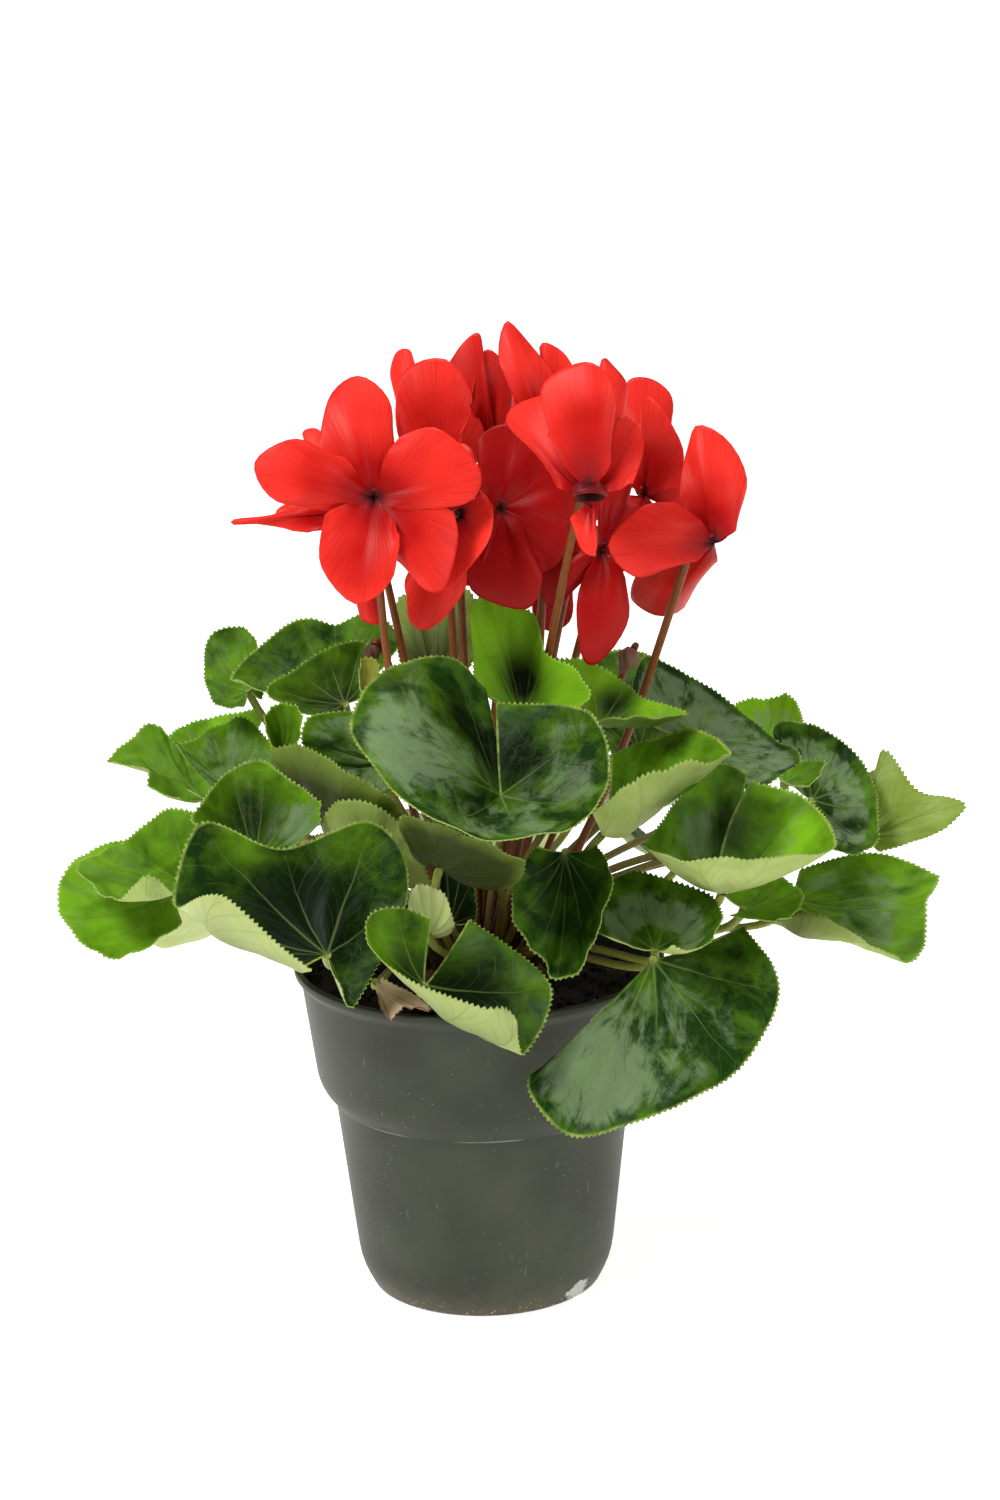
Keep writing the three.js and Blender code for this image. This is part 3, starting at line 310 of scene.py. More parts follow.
def vein_masks(tree, body):
    """How strongly a main vein, a branch and the net show; the place in the fan of veins, as vein
    number and way out; and how far in from the blade's two side edges it lies, in metres."""
    fan = add(tree, "Attribute", attribute_name="fan")
    across, along, spread = add(tree, "SeparateXYZ", [fan.outputs["Vector"]]).outputs
    wander = add(tree, "TexNoise", {"Vector": body, "Scale": 1 / WANDER_SIZE, "Detail": 2.0})
    shift = add(tree, "Math", [wander, VEIN_WANDER, -VEIN_WANDER / 2], operation="MULTIPLY_ADD")
    bent = add(tree, "Math", [across, shift], operation="ADD")
    off = add(tree, "Math", [bent, HALFWAY], operation="PINGPONG")
    metres = add(tree, "Math", [off, spread], operation="MULTIPLY")
    taper = add(tree, "Math", [along, -VEIN_WIDTH, VEIN_TAPER * VEIN_WIDTH], operation="MULTIPLY_ADD")
    thin = add(tree, "Math", [metres, taper], operation="DIVIDE")
    main = add(tree, "MapRange", [thin, 0.0, 1.0, 1.0, 0.0], interpolation_type="SMOOTHSTEP")
    climb = add(tree, "Math", [off, -BRANCH_SLANT, along], operation="MULTIPLY_ADD")
    climb = add(tree, "Math", [climb, BRANCHES, wander], operation="MULTIPLY_ADD")
    off = add(tree, "Math", [climb, HALFWAY], operation="PINGPONG")
    branch = add(tree, "MapRange", [off, 0.0, BRANCH_SHARE, 1.0, 0.0], interpolation_type="SMOOTHSTEP")
    sway = add(tree, "TexNoise", {"Vector": body, "Scale": 1 / NET_SWAY, "Detail": 2.0}).outputs["Color"]
    swayed = add(tree, "VectorMath", [sway, [NET_SWAY] * 3, body], operation="MULTIPLY_ADD")
    cells = add(tree, "TexVoronoi", {"Vector": swayed, "Scale": 1 / NET_SIZE}, feature="DISTANCE_TO_EDGE")
    net = add(tree, "MapRange", [cells, *NET_LINE])
    broken = add(tree, "MapRange", [wander, *NET_BREAKS])
    net = add(tree, "Math", [net, broken], operation="MULTIPLY")
    inward = add(tree, "Math", [across, MIDDLE_VEIN], operation="PINGPONG")
    inward = add(tree, "Math", [inward, spread], operation="MULTIPLY")
    return main, branch, net, across, along, inward


print("veins", VEIN_WIDTH / MM, "mm wide, net", NET_SIZE / MM, "mm")

# %% The colours of a blade's upper face
MARBLE_SIZE, RIM_SPOT, FLAME_DRIFT = 11 * MM, 3 * MM, 100 / 3 * MM
CLOUDS_IN_GREEN, CLOUDS_IN_SILVER = 0.62, 0.5
FLAME_STRETCH, MAIN_CLEARS, BRANCH_CLEARS = (1.9, 2.4, 1), -0.35, -0.18
FRESH_SHOWS, FLAMES_SHOW = (0.1, 1.0, 0.0, 1.0), (0.35, 0.85, 0.0, 0.68)
MAIN_SHOWS, MAIN_FADES, BRANCH_SHOWS, NET_SHOWS = 0.29, -0.16, 0.05, 0.06
RIM_SHOWS, SIDE_SHOWS = (0.97, 0.986, 0.0, 0.75), (0.5 * MM, 1.0 * MM, 0.75, 0.0)
RIM_WEAR = (0.4, 0.6, 0.4, 1.0)


def blade_colour(tree, body, veins, greens):
    """Deep to fresh green, silver flames between the veins, shade, pale veins and margin."""
    main, branch, net, across, along, inward = veins
    paint = add(tree, "Attribute", attribute_name="paint")
    freshness, silvering, shade = add(tree, "SeparateXYZ", [paint.outputs["Vector"]]).outputs
    marble = add(tree, "TexNoise", {"Vector": body, "Scale": 1 / MARBLE_SIZE, "Detail": 5.0,
                                    "Roughness": 0.6, "Distortion": 0.5})
    clouds = add(tree, "Math", [marble, 2.0, -1.0], operation="MULTIPLY_ADD")
    fresh = add(tree, "Math", [clouds, CLOUDS_IN_GREEN, freshness], operation="MULTIPLY_ADD")
    fresh = add(tree, "MapRange", [fresh, *FRESH_SHOWS])

    drift = add(tree, "SeparateXYZ", [body]).outputs["X"]
    drift = add(tree, "Math", [drift, FLAME_DRIFT], operation="DIVIDE")
    fan = add(tree, "CombineXYZ", [across, along, drift])
    flames = add(tree, "Mapping", {"Vector": fan, "Scale": FLAME_STRETCH})
    flames = add(tree, "TexNoise", {"Vector": flames, "Scale": 1.0, "Detail": 7.0, "Roughness": 0.7,
                                    "Distortion": 0.9})
    silver = add(tree, "Math", [flames, 2.2, -1.1], operation="MULTIPLY_ADD")
    for mask, weight in ((clouds, CLOUDS_IN_SILVER), (silvering, 1.0),
                         (main, MAIN_CLEARS), (branch, BRANCH_CLEARS)):
        silver = add(tree, "Math", [mask, weight, silver], operation="MULTIPLY_ADD")
    silver = add(tree, "MapRange", [silver, *FLAMES_SHOW], interpolation_type="SMOOTHSTEP")
    limit = add(tree, "Math", [silvering, 2.0], operation="MULTIPLY", use_clamp=True)
    silver = add(tree, "Math", [silver, limit], operation="MULTIPLY")
    shade = add(tree, "Math", [shade, 0.9], operation="MULTIPLY", use_clamp=True)

    fade = add(tree, "Math", [along, MAIN_FADES, MAIN_SHOWS], operation="MULTIPLY_ADD")
    lines = add(tree, "Math", [main, fade], operation="MULTIPLY")
    for mask, strength in ((branch, BRANCH_SHOWS), (net, NET_SHOWS)):
        fine = add(tree, "Math", [mask, strength], operation="MULTIPLY")
        lines = add(tree, "Math", [lines, fine], operation="MAXIMUM")
    rim = add(tree, "MapRange", [along, *RIM_SHOWS])
    side = add(tree, "MapRange", [inward, *SIDE_SHOWS])
    rim = add(tree, "Math", [rim, side], operation="MAXIMUM")
    worn = add(tree, "TexNoise", {"Vector": body, "Scale": 1 / RIM_SPOT, "Detail": 1.0})
    worn = add(tree, "MapRange", [worn, *RIM_WEAR])
    rim = add(tree, "Math", [rim, worn], operation="MULTIPLY")

    colour = linear(greens["deep"])
    for share, green in ((fresh, "fresh"), (silver, "silver"), (shade, "shade"), (lines, "vein"),
                         (rim, "margin")):
        colour = add(tree, "Mix", [share, colour, linear(greens[green])], data_type="RGBA")
    return colour


print("marbling", MARBLE_SIZE / MM, "mm")

# %% [markdown]
# A living leaf is a dielectric of water and cellulose under wax: IOR about 1.45, and a roughness
# near 0.4 above, where the wax is smooth, and 0.6 below, where fine hairs scatter the light.

# %% Upper faces and undersides
LEAF_IOR, WAX_ROUGHNESS, HAIR_ROUGHNESS, DRY_ROUGHNESS = 1.45, 0.4, 0.6, 0.85
THROUGH_UPPER, THROUGH_UNDER = 0.14, 0.15
LIT_GREEN, LIT_SHARE, UNDER_SHADE = "86b020", 0.6, "343e08"
BRANCH_RELIEF, NET_RELIEF, VEIN_RELIEF = 0.5, 0.3, 0.5 * MM
UNDER_CLOUDS, UNDER_CLOUDS_SHOW, RIBS_SHOW = 14 * MM, (0.35, 0.7, -0.1, 0.2), 0.35


def blade_skin(name, roughness=WAX_ROUGHNESS, **greens):
    material, tree, body = new_material(name)
    veins = vein_masks(tree, body)
    colour = blade_colour(tree, body, veins, greens)
    relief = veins[0]
    for mask, depth in zip(veins[1:3], (BRANCH_RELIEF, NET_RELIEF)):
        relief = add(tree, "Math", [mask, depth, relief], operation="MULTIPLY_ADD")
    bump = add(tree, "Bump", {"Height": relief, "Strength": 0.35, "Distance": VEIN_RELIEF}, invert=True)
    lit = add(tree, "Mix", [LIT_SHARE, colour, linear(LIT_GREEN)], data_type="RGBA")
    surface = {"Roughness": roughness, "IOR": LEAF_IOR, "Specular IOR Level": 0.08}
    finish(tree, colour, bump, surface, THROUGH_UPPER, lit)
    return material


def blade_underside(name, pale, green, vein):
    material, tree, body = new_material(name)
    main, branch = vein_masks(tree, body)[:2]
    paint = add(tree, "Attribute", attribute_name="paint")
    freshness, _, shade = add(tree, "SeparateXYZ", [paint.outputs["Vector"]]).outputs
    clouds = add(tree, "TexNoise", {"Vector": body, "Scale": 1 / UNDER_CLOUDS, "Detail": 4.0})
    clouds = add(tree, "MapRange", [clouds, *UNDER_CLOUDS_SHOW])
    fresh = add(tree, "Math", [clouds, freshness], operation="ADD", use_clamp=True)
    ribs = add(tree, "Math", [branch, BRANCH_RELIEF], operation="MULTIPLY")
    ribs = add(tree, "Math", [main, ribs], operation="MAXIMUM")
    lines = add(tree, "Math", [ribs, RIBS_SHOW], operation="MULTIPLY")
    colour = linear(pale)
    for share, laid_over in ((fresh, green), (lines, vein), (shade, UNDER_SHADE)):
        colour = add(tree, "Mix", [share, colour, linear(laid_over)], data_type="RGBA")
    bump = add(tree, "Bump", {"Height": ribs, "Strength": 0.5, "Distance": VEIN_RELIEF})
    finish(tree, colour, bump, {"Roughness": HAIR_ROUGHNESS, "IOR": LEAF_IOR}, THROUGH_UNDER)
    return material


LEAF_UPPER = blade_skin("leaf_upper_waxy", deep="14330a", fresh="7cb31c", silver="788d68",
                        vein="9cb262", margin="a2b656", shade="0a1905")
LEAF_UNDER = blade_underside("leaf_underside_matt", pale="c8d388", green="7a9426", vein="8a9440")
YOUNG_UPPER = blade_skin("young_leaf_waxy", deep="6a7426", fresh="8f9339", silver="9ca05a",
                         vein="a9a462", margin="8f6a34", shade="3c4412")
YOUNG_UNDER = blade_underside("young_leaf_underside", pale="8f9040", green="7b7c30", vein="7a5c30")
WITHERED_UPPER = blade_skin("withered_leaf_dry", roughness=DRY_ROUGHNESS, deep="8a6a4a", fresh="dcc09c",
                            silver="c8b094", vein="6a4630", margin="7a5538", shade="3a281a")
WITHERED_UNDER = blade_underside("withered_leaf_back", pale="a58468", green="86664a", vein="6a4630")
print("leaf finishes:", [m.name for m in bpy.data.materials if "leaf" in m.name])

# %% The pale toothed edge
EDGE_SPECK = 1.2 * MM
LEAF_EDGE, tree, body = new_material("leaf_edge_pale")
specks = add(tree, "TexNoise", {"Vector": body, "Scale": 1 / EDGE_SPECK, "Detail": 1.0})
tone = add(tree, "Mix", [specks, linear("64822c"), linear("9fb058")], data_type="RGBA")
shader = add(tree, "BsdfPrincipled", {"Base Color": tone, "Roughness": 0.5, "IOR": LEAF_IOR})
add(tree, "OutputMaterial", [shader])
print(LEAF_EDGE.name)

# %% [markdown]
# ## The leaves
# A cyclamen leaf is a fan of nine veins from one point, the end of its stalk. Each leaf is noted by
# that point and then by the places of the nine vein tips round its edge. BENDS gives the middle of
# a vein where the blade rolls over, and LEANS pushes a stalk aside, in millimetres. LOOKS says how
# fresh green, how silver and how shaded a blade is, SILVER_BANDS between which shares of the way
# out it is silver, and PATCHES adds spots of these: what, vein, way out, reach in millimetres and
# strength.

# %% The leaves' places
LEAVES = {
    "front_funnel": [(500, 795, 55), (485, 690, 30), (450, 656, 32), (385, 668, 42), (351, 735, 66),
        (440, 822, 94), (540, 839, 92), (604, 795, 76), (594, 713, 50), (496, 702, 38)],
    "top_upright": [(522, 722, 20), (545, 712, 32), (590, 702, 38), (580, 672, 28), (545, 650, 16),
        (538, 617, 8), (497, 597, 4), (471, 603, 12), (476, 680, 22), (500, 702, 24)],
    "top_right_wing": [(600, 722, 14), (572, 712, 22), (592, 718, 30), (622, 718, 32), (655, 716, 28),
        (688, 712, 20), (645, 697, 8), (626, 682, 0), (590, 660, -4), (556, 656, 2)],
    "right_top": [(690, 738, -8), (672, 762, 4), (730, 790, 8), (770, 782, 5), (803, 760, -5),
        (770, 733, -18), (725, 697, -28), (685, 672, -30), (642, 655, -26), (628, 708, -12)],
    "right_top_back": [(765, 740, -42), (748, 745, -30), (778, 748, -28), (802, 735, -32), (800, 708, -48),
        (788, 693, -58), (770, 697, -62), (748, 698, -60), (733, 706, -54), (738, 728, -42)],
    "right_back": [(812, 800, -4), (800, 845, 14), (840, 852, 18), (876, 846, 14), (879, 805, 0),
        (866, 765, -13), (840, 738, -22), (805, 721, -30), (772, 727, -30), (785, 775, -12)],
    "right_strip": [(784, 783, 12), (778, 779, 11), (792, 785, 17), (808, 785, 20), (821, 774, 19),
        (826, 761, 14), (806, 760, 9), (792, 767, 7), (781, 774, 7), (777, 777, 8)],
    "far_right_pale": [(866, 838, -12), (850, 835, -20), (855, 790, -26), (874, 768, -24), (889, 751, -20),
        (918, 788, -10), (966, 803, -4), (946, 829, 0), (915, 842, -2), (880, 853, -6)],
    "right_low": [(790, 900, 25), (765, 926, 38), (803, 911, 46), (842, 926, 48), (893, 958, 50),
        (922, 953, 44), (930, 900, 26), (937, 873, 12), (870, 852, 6), (800, 868, 12)],
    "right_small": [(744, 908, 42), (728, 915, 47), (768, 921, 50), (787, 918, 50), (800, 908, 45),
        (805, 897, 40), (798, 886, 34), (782, 879, 31), (762, 882, 31), (722, 893, 42)],
    "right_cup": [(722, 893, 45), (748, 772, 18), (715, 762, 20), (672, 805, 34), (648, 845, 54),
        (700, 859, 76), (770, 857, 76), (836, 842, 54), (808, 798, 30), (752, 778, 26)],
    "right_folded": [(602, 835, 40), (592, 812, 50), (618, 792, 58), (640, 774, 60), (680, 765, 60),
        (722, 757, 50), (724, 742, 28), (690, 728, 16), (640, 741, 12), (608, 754, 22)],
    "right_silver": [(655, 950, 62), (672, 945, 71), (700, 948, 74), (722, 925, 66), (714, 896, 50),
        (675, 880, 44), (630, 870, 40), (596, 893, 46), (593, 925, 54), (625, 943, 66)],
    "right_hanging": [(653, 960, 64), (626, 988, 63), (597, 1015, 62), (566, 1065, 65), (526, 1086, 70),
        (572, 1137, 80), (660, 1115, 84), (741, 1068, 76), (781, 990, 62), (745, 924, 43)],
    "centre_folded": [(565, 852, 36), (535, 845, 34), (512, 885, 46), (514, 922, 56), (536, 955, 62),
        (556, 981, 66), (585, 962, 68), (603, 920, 64), (611, 872, 56), (598, 845, 42)],
    "band_centre": [(440, 868, 38), (408, 850, 46), (402, 815, 55), (440, 825, 64), (485, 840, 66),
        (526, 864, 58), (508, 889, 46), (492, 872, 40), (460, 855, 36), (422, 850, 40)],
    "band_left": [(345, 838, 15), (395, 825, 10), (370, 790, 2), (320, 775, -4), (288, 765, -4),
        (271, 751, 0), (300, 744, 10), (345, 768, 22), (385, 792, 28), (405, 812, 24)],
    "left_cup": [(255, 862, 24), (290, 846, 33), (319, 823, 29), (321, 803, 24), (300, 785, 16),
        (262, 759, 4), (228, 770, 4), (205, 795, 12), (193, 820, 24), (230, 838, 33)],
    "left_big": [(327, 955, 62), (338, 982, 70), (357, 1003, 72), (410, 885, 48), (372, 820, 39),
        (282, 847, 43), (200, 822, 40), (173, 905, 56), (222, 896, 78), (314, 971, 80)],
    "front_low": [(425, 985, 66), (433, 918, 58), (395, 905, 58), (366, 920, 64), (385, 965, 74),
        (470, 1002, 86), (512, 1010, 84), (523, 1055, 82), (552, 985, 66), (470, 918, 46)],
    "left_rolled": [(190, 885, 30), (197, 812, 18), (165, 808, 12), (128, 838, 6), (100, 850, 8),
        (75, 868, 16), (98, 890, 34), (118, 899, 40), (148, 874, 46), (172, 892, 44)],
    "far_left_low": [(172, 893, 12), (160, 845, -10), (125, 838, -12), (85, 852, -6), (59, 880, 4),
        (60, 915, 14), (85, 948, 24), (118, 957, 30), (155, 944, 32), (182, 922, 30)],
    "left_bright": [(215, 760, -62), (240, 755, -58), (264, 712, -74), (232, 712, -80), (200, 719, -80),
        (175, 729, -74), (165, 742, -64), (175, 755, -56), (195, 765, -54), (222, 768, -54)],
    "left_small_cup": [(283, 760, -7), (297, 745, 2), (301, 725, 1), (300, 707, -2), (288, 703, -5),
        (275, 703, -6), (266, 712, -5), (265, 728, -2), (270, 744, 1), (284, 750, 2)],
    "left_silver": [(385, 765, 12), (400, 750, 16), (385, 718, 8), (350, 711, 5), (308, 716, 8),
        (302, 745, 8), (335, 772, 6), (360, 786, 12), (385, 795, 18), (402, 785, 20)],
    "left_folded": [(205, 800, 2), (212, 785, -6), (195, 768, -12), (175, 743, -20), (152, 722, -28),
        (127, 741, -22), (107, 760, -14), (143, 769, 0), (150, 787, 6), (180, 799, 8)],
    "left_grey": [(235, 790, -26), (285, 782, -18), (289, 764, -28), (271, 741, -40), (243, 716, -52),
        (212, 727, -52), (186, 742, -48), (165, 735, -44), (185, 775, -28), (215, 800, -16)],
    "back_left_bright": [(248, 690, -43), (262, 700, -37), (268, 670, -47), (257, 645, -59),
        (243, 626, -67), (210, 634, -65), (203, 672, -53), (211, 700, -41), (228, 708, -35),
        (243, 707, -33)],
    "back_left_dark": [(330, 690, -31), (375, 675, -30), (400, 640, -44), (375, 612, -58), (335, 622, -58),
        (300, 618, -58), (262, 642, -48), (230, 678, -32), (265, 690, -22), (305, 700, -21)],
    "back_left_cup": [(345, 704, -14), (368, 695, -16), (376, 665, -20), (362, 640, -26), (325, 648, -24),
        (295, 668, -20), (266, 686, -15), (275, 700, -12), (312, 717, -7), (348, 722, -7)],
    "back_centre_pale": [(435, 689, -50), (410, 686, -48), (396, 650, -56), (395, 610, -66),
        (410, 592, -70), (440, 598, -72), (465, 588, -70), (480, 610, -63), (478, 650, -54),
        (460, 686, -48)],
    "inner_left": [(375, 872, 26), (342, 862, 20), (322, 828, 22), (335, 801, 28), (372, 802, 31),
        (402, 825, 30), (420, 855, 28), (433, 886, 26), (422, 888, 18), (398, 880, 14)],
    "front_curled": [(428, 935, 38), (412, 928, 42), (407, 900, 48), (415, 884, 46), (430, 885, 42),
        (445, 893, 40), (452, 912, 42), (455, 925, 40), (448, 935, 36), (438, 938, 36)],
    "inner_dark": [(450, 925, 30), (463, 925, 32), (478, 915, 32), (474, 880, 28), (465, 850, 26),
        (442, 834, 24), (430, 840, 24), (434, 862, 26), (438, 890, 28), (441, 915, 30)],
    "back_right": [(640, 752, -48), (672, 750, -50), (682, 705, -70), (652, 657, -100), (615, 650, -108),
        (585, 655, -106), (570, 680, -92), (588, 722, -66), (610, 752, -50), (626, 764, -44)],
    "young": [(368, 704, 2), (375, 700, 3), (380, 685, 1), (379, 665, -1), (375, 657, -2), (368, 656, -2),
        (361, 658, -1), (359, 670, 1), (360, 688, 3), (363, 700, 4)],
    "withered": [(376, 982, 50), (378, 990, 51), (382, 1008, 60), (392, 1021, 64), (402, 1008, 61),
        (415, 1009, 60), (432, 1009, 58), (415, 994, 52), (395, 984, 49), (381, 975, 47)],
}
BENDS = {
    "front_funnel": {0: (498, 745, 39), 1: (470, 715, 36), 2: (432, 728, 62), 3: (425, 762, 74),
        8: (497, 748, 47)},
    "right_low": {1: (800, 937, 46), 2: (850, 943, 52)},
    "right_cup": {0: (735, 830, 24), 8: (724, 838, 38)},
    "right_folded": {1: (609, 822, 48), 2: (636, 825, 45), 3: (658, 812, 36), 4: (690, 788, 26)},
    "left_big": {7: (215, 938, 70), 8: (300, 971, 74)},
    "front_low": {4: (450, 1022, 82), 5: (500, 1045, 84)},
    "left_rolled": {7: (150, 897, 44)},
    "left_folded": {5: (152, 774, -8), 6: (172, 783, -2)},
}
LEANS = {
    "front_funnel": (20, 0, 0), "right_folded": (20, 0, 0), "band_centre": (0, 0, -20),
    "back_left_bright": (0, -20, 0), "back_left_dark": (0, -20, 0), "young": (20, 0, 0),
    "withered": (0, 0, 20),
}
print("leaves seen from the front:", len(LEAVES))

# %% The leaves' looks
LOOKS = {
    "front_funnel": (0.2, 0.5, 0.3), "top_upright": (1.0, 0.1, 0.2), "top_right_wing": (0.75, 0.0, 0.3),
    "right_top": (0.15, 0.75, 0.15), "right_top_back": (0.9, 0.6, 0.0), "right_back": (0.18, 0.7, 0.15),
    "right_strip": (0.4, 0.0, 0.2), "far_right_pale": (0.8, 0.2, 0.2), "right_low": (0.45, 0.6, 0.1),
    "right_small": (0.6, 0.1, 0.2), "right_cup": (0.42, 0.5, 0.12), "right_folded": (0.45, 0.1, 0.05),
    "right_silver": (0.24, 0.9, 0.1), "right_hanging": (0.15, 0.56, 0.15),
    "centre_folded": (0.15, 0.0, 0.6), "band_centre": (0.9, 0.0, 3.2), "band_left": (0.9, 0.0, 2.1),
    "left_cup": (0.42, 0.35, 0.3), "left_big": (0.1, 0.12, 1.0), "front_low": (0.28, 0.0, 0.95),
    "left_rolled": (0.45, 0.1, 0.15), "far_left_low": (0.65, 0.3, 0.05), "left_bright": (0.55, 0.1, 0.1),
    "left_small_cup": (0.5, 0.0, 0.4), "left_silver": (0.3, 0.7, 0.3), "left_folded": (0.42, 0.1, 0.15),
    "left_grey": (0.4, 0.6, 0.2), "back_left_bright": (0.32, 0.1, 0.1), "back_left_dark": (0.25, 0.4, 0.2),
    "back_left_cup": (0.3, 0.2, 1.0), "back_centre_pale": (1.1, 0.0, 1.1), "inner_left": (0.6, 0.0, 0.8),
    "front_curled": (0.15, 0.0, 0.0), "inner_dark": (0.1, 0.0, 2.4), "back_right": (0.3, 0.2, 0.8),
    "young": (0.9, 0.0, 0.0), "withered": (1.0, 0.0, 0.0), "far_side": (0.2, 0.75, 0.1),
}
SILVER_BANDS = {
    "front_funnel": (0.1, 0.98), "right_top": (0.1, 0.98), "right_back": (0.2, 0.9),
    "right_hanging": (0.08, 0.95), "left_silver": (0.2, 0.95), "left_grey": (0.2, 0.95),
    "far_side": (0.3, 0.85),
}
# the shade spots are painted shade in hollows and folds; the fresh and silver spots are partly the blade's
# own colour and partly painted light
PATCHES = {
    "front_funnel": [("shade", 1.3, 0.5, 9, 1.1), ("shade", 0.9, 0.35, 7, 0.9),
        ("shade", 7.6, 0.5, 11, 0.9), ("silver", 3, 0.75, 15, 0.35), ("silver", 1.2, 0.6, 13, -0.7),
        ("silver", 6.5, 0.7, 8, 0.3), ("silver", 7.6, 0.8, 9, -0.6)],
    "top_upright": [("shade", 4.2, 0.5, 9, 0.5), ("shade", 5, 0.35, 9, 0.45), ("shade", 3, 0.4, 8, 0.35),
        ("silver", 4.5, 0.7, 7, 0.3)],
    "top_right_wing": [("shade", 6, 0.6, 8, 0.9)],
    "right_low": [("shade", 1.3, 0.3, 10, 0.8)],
    "right_cup": [("silver", 1.8, 0.75, 9, 0.5), ("shade", 0.4, 0.6, 8, 0.8), ("shade", 7.9, 0.6, 8, 0.7),
        ("fresh", 6.6, 0.75, 10, 0.6)],
    "right_hanging": [("silver", 4, 0.7, 20, 0.4), ("silver", 7.3, 0.6, 14, -0.4),
        ("shade", 7.3, 0.55, 14, 0.35)],
    "left_cup": [("shade", 4.5, 0.5, 12, 0.8), ("silver", 2.3, 0.7, 9, 0.8), ("shade", 2.3, 0.7, 8, -0.4)],
    "left_big": [("shade", 4, 0.6, 16, 0.5), ("fresh", 4.5, 0.92, 9, 0.45), ("fresh", 3.2, 0.85, 9, 0.35),
        ("silver", 5, 0.88, 8, 0.35), ("silver", 2, 0.7, 10, 0.35)],
    "front_low": [("fresh", 2.4, 0.8, 9, 0.4), ("shade", 7, 0.5, 13, 0.5)],
}
print("blades with patches:", len(PATCHES))

# %% [markdown]
# Leaves on the far side are noted otherwise: by direction round the pot, distance from its axis
# and height of the stalk's end, the blade's slope down and outwards, and its main vein's length.

# %% The far leaves' places
BACK_LEAVES = [
    {"round": 36, "out": 84, "height": 124, "slope": 30, "length": 42},
    {"round": 64, "out": 84, "height": 142, "slope": 30, "length": 44},
    {"round": 92, "out": 88, "height": 122, "slope": 32, "length": 46},
    {"round": 120, "out": 84, "height": 142, "slope": 30, "length": 44},
    {"round": 139, "out": 98, "height": 114, "slope": 42, "length": 45},
    {"round": 84, "out": 52, "height": 167, "slope": 14, "length": 32},
]
VEIN_ANGLES = np.radians([-165, -125, -85, -42, 0, 42, 85, 125, 165])
VEIN_SHARES = np.array([0.5, 0.72, 0.84, 0.94, 1.04, 0.94, 0.84, 0.72, 0.5])
BACK_LEAF_CUP, BACK_LEAF_WAVE = 0.18, 0.08
STRAIGHT = (0, 0, 0)


def back_leaf(spec):
    angle, fall = math.radians(spec["round"]), math.radians(spec["slope"])
    outward = np.array([math.cos(angle), math.sin(angle), 0])
    sideways = np.array([-math.sin(angle), math.cos(angle), 0])
    stalk = outward * spec["out"] + UP * spec["height"]
    downhill = outward * math.cos(fall) - UP * math.sin(fall)
    upper = outward * math.sin(fall) + UP * math.cos(fall)
    reach = (spec["length"] * VEIN_SHARES)[:, None]
    wave = BACK_LEAF_CUP + BACK_LEAF_WAVE * np.sin(2.5 * np.arange(LAST_VEIN + 1) + spec["round"])
    turn = VEIN_ANGLES[:, None]
    edge = stalk + reach * (downhill * np.cos(turn) + sideways * np.sin(turn) + upper * wave[:, None])
    return {"stalk": stalk * MM, "edge": edge * MM, "bend": {}, "lean": STRAIGHT}


def seen_leaf(name, places):
    stalk, edge = seen(places[0])[0], seen(places[1:])
    bend = {vein: seen(place)[0] for vein, place in BENDS.get(name, {}).items()}
    return {"stalk": stalk, "edge": edge, "bend": bend, "lean": LEANS.get(name, STRAIGHT)}


leaves = {name: seen_leaf(name, places) for name, places in LEAVES.items()}
leaves.update({f"back_{i + 1}": back_leaf(spec) for i, spec in enumerate(BACK_LEAVES)})
print("leaves:", len(leaves))

# %% [markdown]
# The blade is stretched over its veins: a smooth curve through the tips gives the edge, one through
# the middles gives the cup of the blade, and along each vein a parabola joins stalk, middle and tip.
# The tissue puckers up a little between the veins and the edge ruffles. Fine teeth, nearly two
# millimetres apart, run all along the edge.

# %% Blades
BEND_AT = 0.55
BLADE_CUP, BLADE_CUP_SHARE = 3.5 * MM, 0.12
BLADE_THICKNESS = 0.35 * MM
TOOTH_PITCH, TOOTH_DEPTH, FEWEST_TEETH = 1.8 * MM, 0.8 * MM, 8
EDGE_STRIP, EDGE_SAMPLES = 1.3 * MM, 641
PUCKER, RUFFLE, CRINKLE, FULL_RELIEF_REACH = 0.8 * MM, 0.7 * MM, 0.35 * MM, 35 * MM
RINGS = np.array([0.015, 0.06, 0.12, 0.19, 0.27, 0.35, 0.43, 0.51, 0.59, 0.67, 0.75, 0.83, 0.91, 1])
SEED_STEP = 1.7
BAND_FADES_IN, BAND_FADES_OUT, EDGE_FRESHER, MOST_PAINT = 0.12, 0.1, 0.25, 1.2


def upper_side(leaf):
    """The direction in which the blade's upper face looks."""
    spokes = leaf["edge"] - leaf["stalk"]
    return unit(np.cross(spokes[:-1], spokes[1:]).sum(0))


def blade_grid(leaf, across, along):
    """Points of the blade: across counts veins from 0 to 8, along runs from the stalk to the edge."""
    centre, edge = leaf["stalk"], leaf["edge"]
    cup = np.minimum(BLADE_CUP, BLADE_CUP_SHARE * lengths(edge - centre))
    middles = centre + BEND_AT * (edge - centre) - cup * upper_side(leaf)
    for vein, place in leaf["bend"].items():
        middles[vein] = place
    tip, middle = smooth_between(edge, across), smooth_between(middles, across)
    a = along[..., None]
    return (centre * (a - BEND_AT) * (a - 1) / BEND_AT
            + middle * a * (a - 1) / (BEND_AT * (BEND_AT - 1))
            + tip * a * (a - BEND_AT) / (1 - BEND_AT))


def rim_of(leaf, across):
    """Points of the blade's smooth edge."""
    return blade_grid(leaf, across, np.ones((1, across.size)))[0]


